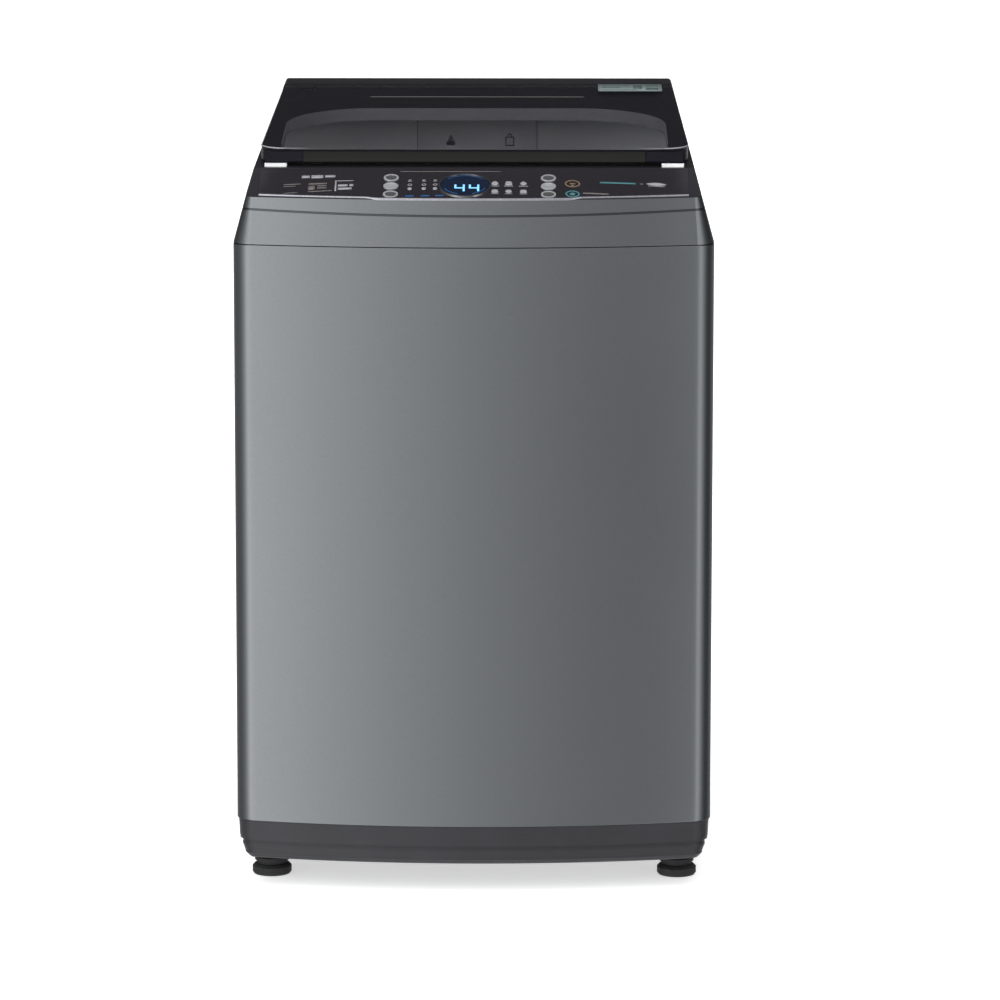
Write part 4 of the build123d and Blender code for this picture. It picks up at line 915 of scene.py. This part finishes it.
def trim_bead():
    """Bright bead: a round of radius r(x) carried along the slope's lower edge, further out in the middle."""
    x = ramp(-267.5, 267.5, 180)[:, None] * MM
    outward = 1 / (1 + np.exp((np.abs(x) - 127 * MM) / (2.2 * MM)))
    margin, r = (5.2 - 3.2 * outward) * MM, (2.0 + 0.4 * outward) * MM
    y = panel_edge(x) + margin
    z = panel_height(x, y) - 0.1 * MM
    angle = np.radians(ramp(-70, 200, 13))[None, :]
    points = stack(x + 0 * angle, y + r * np.cos(angle + math.pi), z + 0.9 * r * np.sin(angle))
    caps = [lid_of(points[0], True), lid_of(points[-1])]
    skins = [skin(points, close_columns=True)] + caps
    make("trim_bead", skins, SATIN_CHROME, "cabinet", ["trim_strip"])


def hinge_covers():
    """Thin flush plates that close the pane over the two hinge ears."""
    half, front, back = 10.3, 226.2, 251.2
    for side, x in (("left", -227.5), ("right", 227.5)):
        loop = np.array([(x - half, front), (x + half, front), (x + half, back), (x - half, back)]) * MM
        pane(f"hinge_cover_{side}", loop, 0.0, -0.8 * MM, 0.2 * MM, LID_BLACK, "lid")


def lid_corner_highlight_beads():
    """Bright round beads under the pane's rounded front corners, a painted highlight of the glass rim there:
    a circle carried round a quarter turn.
    """
    r, front = 30 * MM, LID_FRONT_Y
    half = HALF - LEAN * (lid_height(front) - SEAM_Z)
    turn = np.radians(ramp(-90, -4, 22))
    along = np.vstack([stack(ramp(half - 62 * MM, half - r, 6)[:-1], front),
                       stack(half - r + r * np.cos(turn), front + r + r * np.sin(turn))])
    way = np.gradient(along, axis=0)
    way /= np.linalg.norm(way, axis=1)[:, None]
    out = stack(way[:, 1], -way[:, 0])
    swell = 0.95 * MM * np.sin(ramp(0.12, math.pi - 0.12, len(along))) ** 0.5
    angle = (np.arange(10) * TURN / 10)[None, :]
    reach = swell[:, None] * np.cos(angle) - 0.75 * MM
    for side, sign in (("left", -1), ("right", 1)):
        x, y = along[:, :1] + reach * out[:, :1], along[:, 1:] + reach * out[:, 1:]
        z = lid_height(along[:, 1:]) - 1.2 * MM + swell[:, None] * np.sin(angle)
        points = stack(sign * x, y, z)
        caps = [lid_of(points[0]), lid_of(points[-1])]
        make(f"lid_highlight_bead_{side}", [skin(points, close_columns=True)] + caps, KEY_STEEL, "lid")


def data_plate():
    """A plain grey-green plate with generic bars on the lid's back corner; the plate's faint glow is painted
    light.
    """
    plate = [bar(160, 245, 200, 250.6)]
    laid_on_surface("data_plate", plate, PLATE_GREEN, "lid", 0.3 * MM, lid_surface)
    bars = [bar(166, 201, 235, 240), bar(166, 190, 224, 229), bar(207, 218, 216, 242)]
    bars += [bar(224, 240, 234, 242), bar(166, 212, 206, 210), bar(224, 240, 208, 224)]
    laid_on_surface("data_plate_bars", bars, PLATE_DARK, "lid", 0.45 * MM, lid_surface)


# ------------------------------------------------------------------ suspension and basket
def suspension_coils():
    """Four springs: a round wire carried along a helix, x = r cos t, y = r sin t, z rising evenly with t."""
    low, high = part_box("suspension_springs")
    wire, r, turns = 1.6 * MM, 13 * MM, 8
    t = ramp(0, TURN * turns, turns * 24 + 1)
    rise = (high.z - low.z - 2 * wire) / (TURN * turns)
    centre = stack(r * np.cos(t), r * np.sin(t), low.z + wire + rise * t)
    radial = stack(np.cos(t), np.sin(t), 0 * t)
    along = stack(-r * np.sin(t), r * np.cos(t), rise + 0 * t)
    along /= np.linalg.norm(along, axis=1)[:, None]
    aside = np.cross(along, radial)
    angle = (np.arange(10) * TURN / 10)[None, :, None]
    coil = centre[:, None] + wire * (np.cos(angle) * radial[:, None] + np.sin(angle) * aside[:, None])
    skins = []
    for x in (low.x + r + wire, high.x - r - wire):
        for y in (low.y + r + wire, high.y - r - wire):
            points = coil + [x, y, 0]
            skins += [skin(points, close_columns=True), lid_of(points[0]), lid_of(points[-1])]
    coils = make("suspension_coils", skins, SPRING_DARK, "tub", ["suspension_springs"])
    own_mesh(coils)


def basket_wall():
    """Perforated drum: cells of one square edge and one round hole, joined by straight lines between them."""
    low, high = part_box("basket_drum")[0].z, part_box("basket_drum")[1].z
    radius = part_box("basket_drum")[1].x - 0.5 * MM
    around, tall, sides = 84, 26, 8
    hole_r, dish, dimple, sheet = 2.0 * MM, 1.6, 0.9 * MM, 0.6 * MM
    bottom, top = low + 22 * MM, high - 26 * MM
    width, height = TURN * radius / around, (top - bottom) / tall
    angle = np.radians(ramp(45, 405, sides + 1))
    square = stack(np.clip(1.42 * np.cos(angle), -1, 1), np.clip(1.42 * np.sin(angle), -1, 1)) / 2
    hole = stack(np.cos(angle), np.sin(angle)) * hole_r
    rings = np.array([square * [width, height], hole * dish, hole])
    depth = np.array([0, 0, dimple])
    cell = stack(rings[..., 0], rings[..., 1], depth[:, None])
    m, n = np.meshgrid(np.arange(around), np.arange(tall), indexing="ij")
    shift = 0.5 * (n % 2)
    u = (m + shift)[..., None, None] * width + cell[None, None, :, :, 0]
    v = bottom + (n[..., None, None] + 0.5) * height + cell[None, None, :, :, 1]
    r = radius + cell[None, None, :, :, 2] - sheet
    points = stack(r * np.sin(u / radius), AXIS_Y - r * np.cos(u / radius), v)
    grids = points.reshape(around * tall, len(rings), sides + 1, 3)
    flat, quads = skin(grids[0])
    size = len(flat)
    every = (quads[None] + (np.arange(len(grids)) * size)[:, None, None]).reshape(-1, 4)
    ends = ((bottom, low), (high, top))
    bands = [turned([(radius - sheet, z) for z in pair], count=around * 2) for pair in ends]
    skins = [(grids.reshape(-1, 3), every)] + bands
    piece = make("basket_wall", skins, DRUM_STEEL, "basket", ["basket_drum"],
                 weld=3e-5, crease=50)
    thickened(piece, sheet, 1)


panel_print_and_ridge_highlight()
keys()
trim_bead()
lid_pieces()
hinge_covers()
lid_corner_highlight_beads()
data_plate()
suspension_coils()
basket_wall()
drawer_signs()
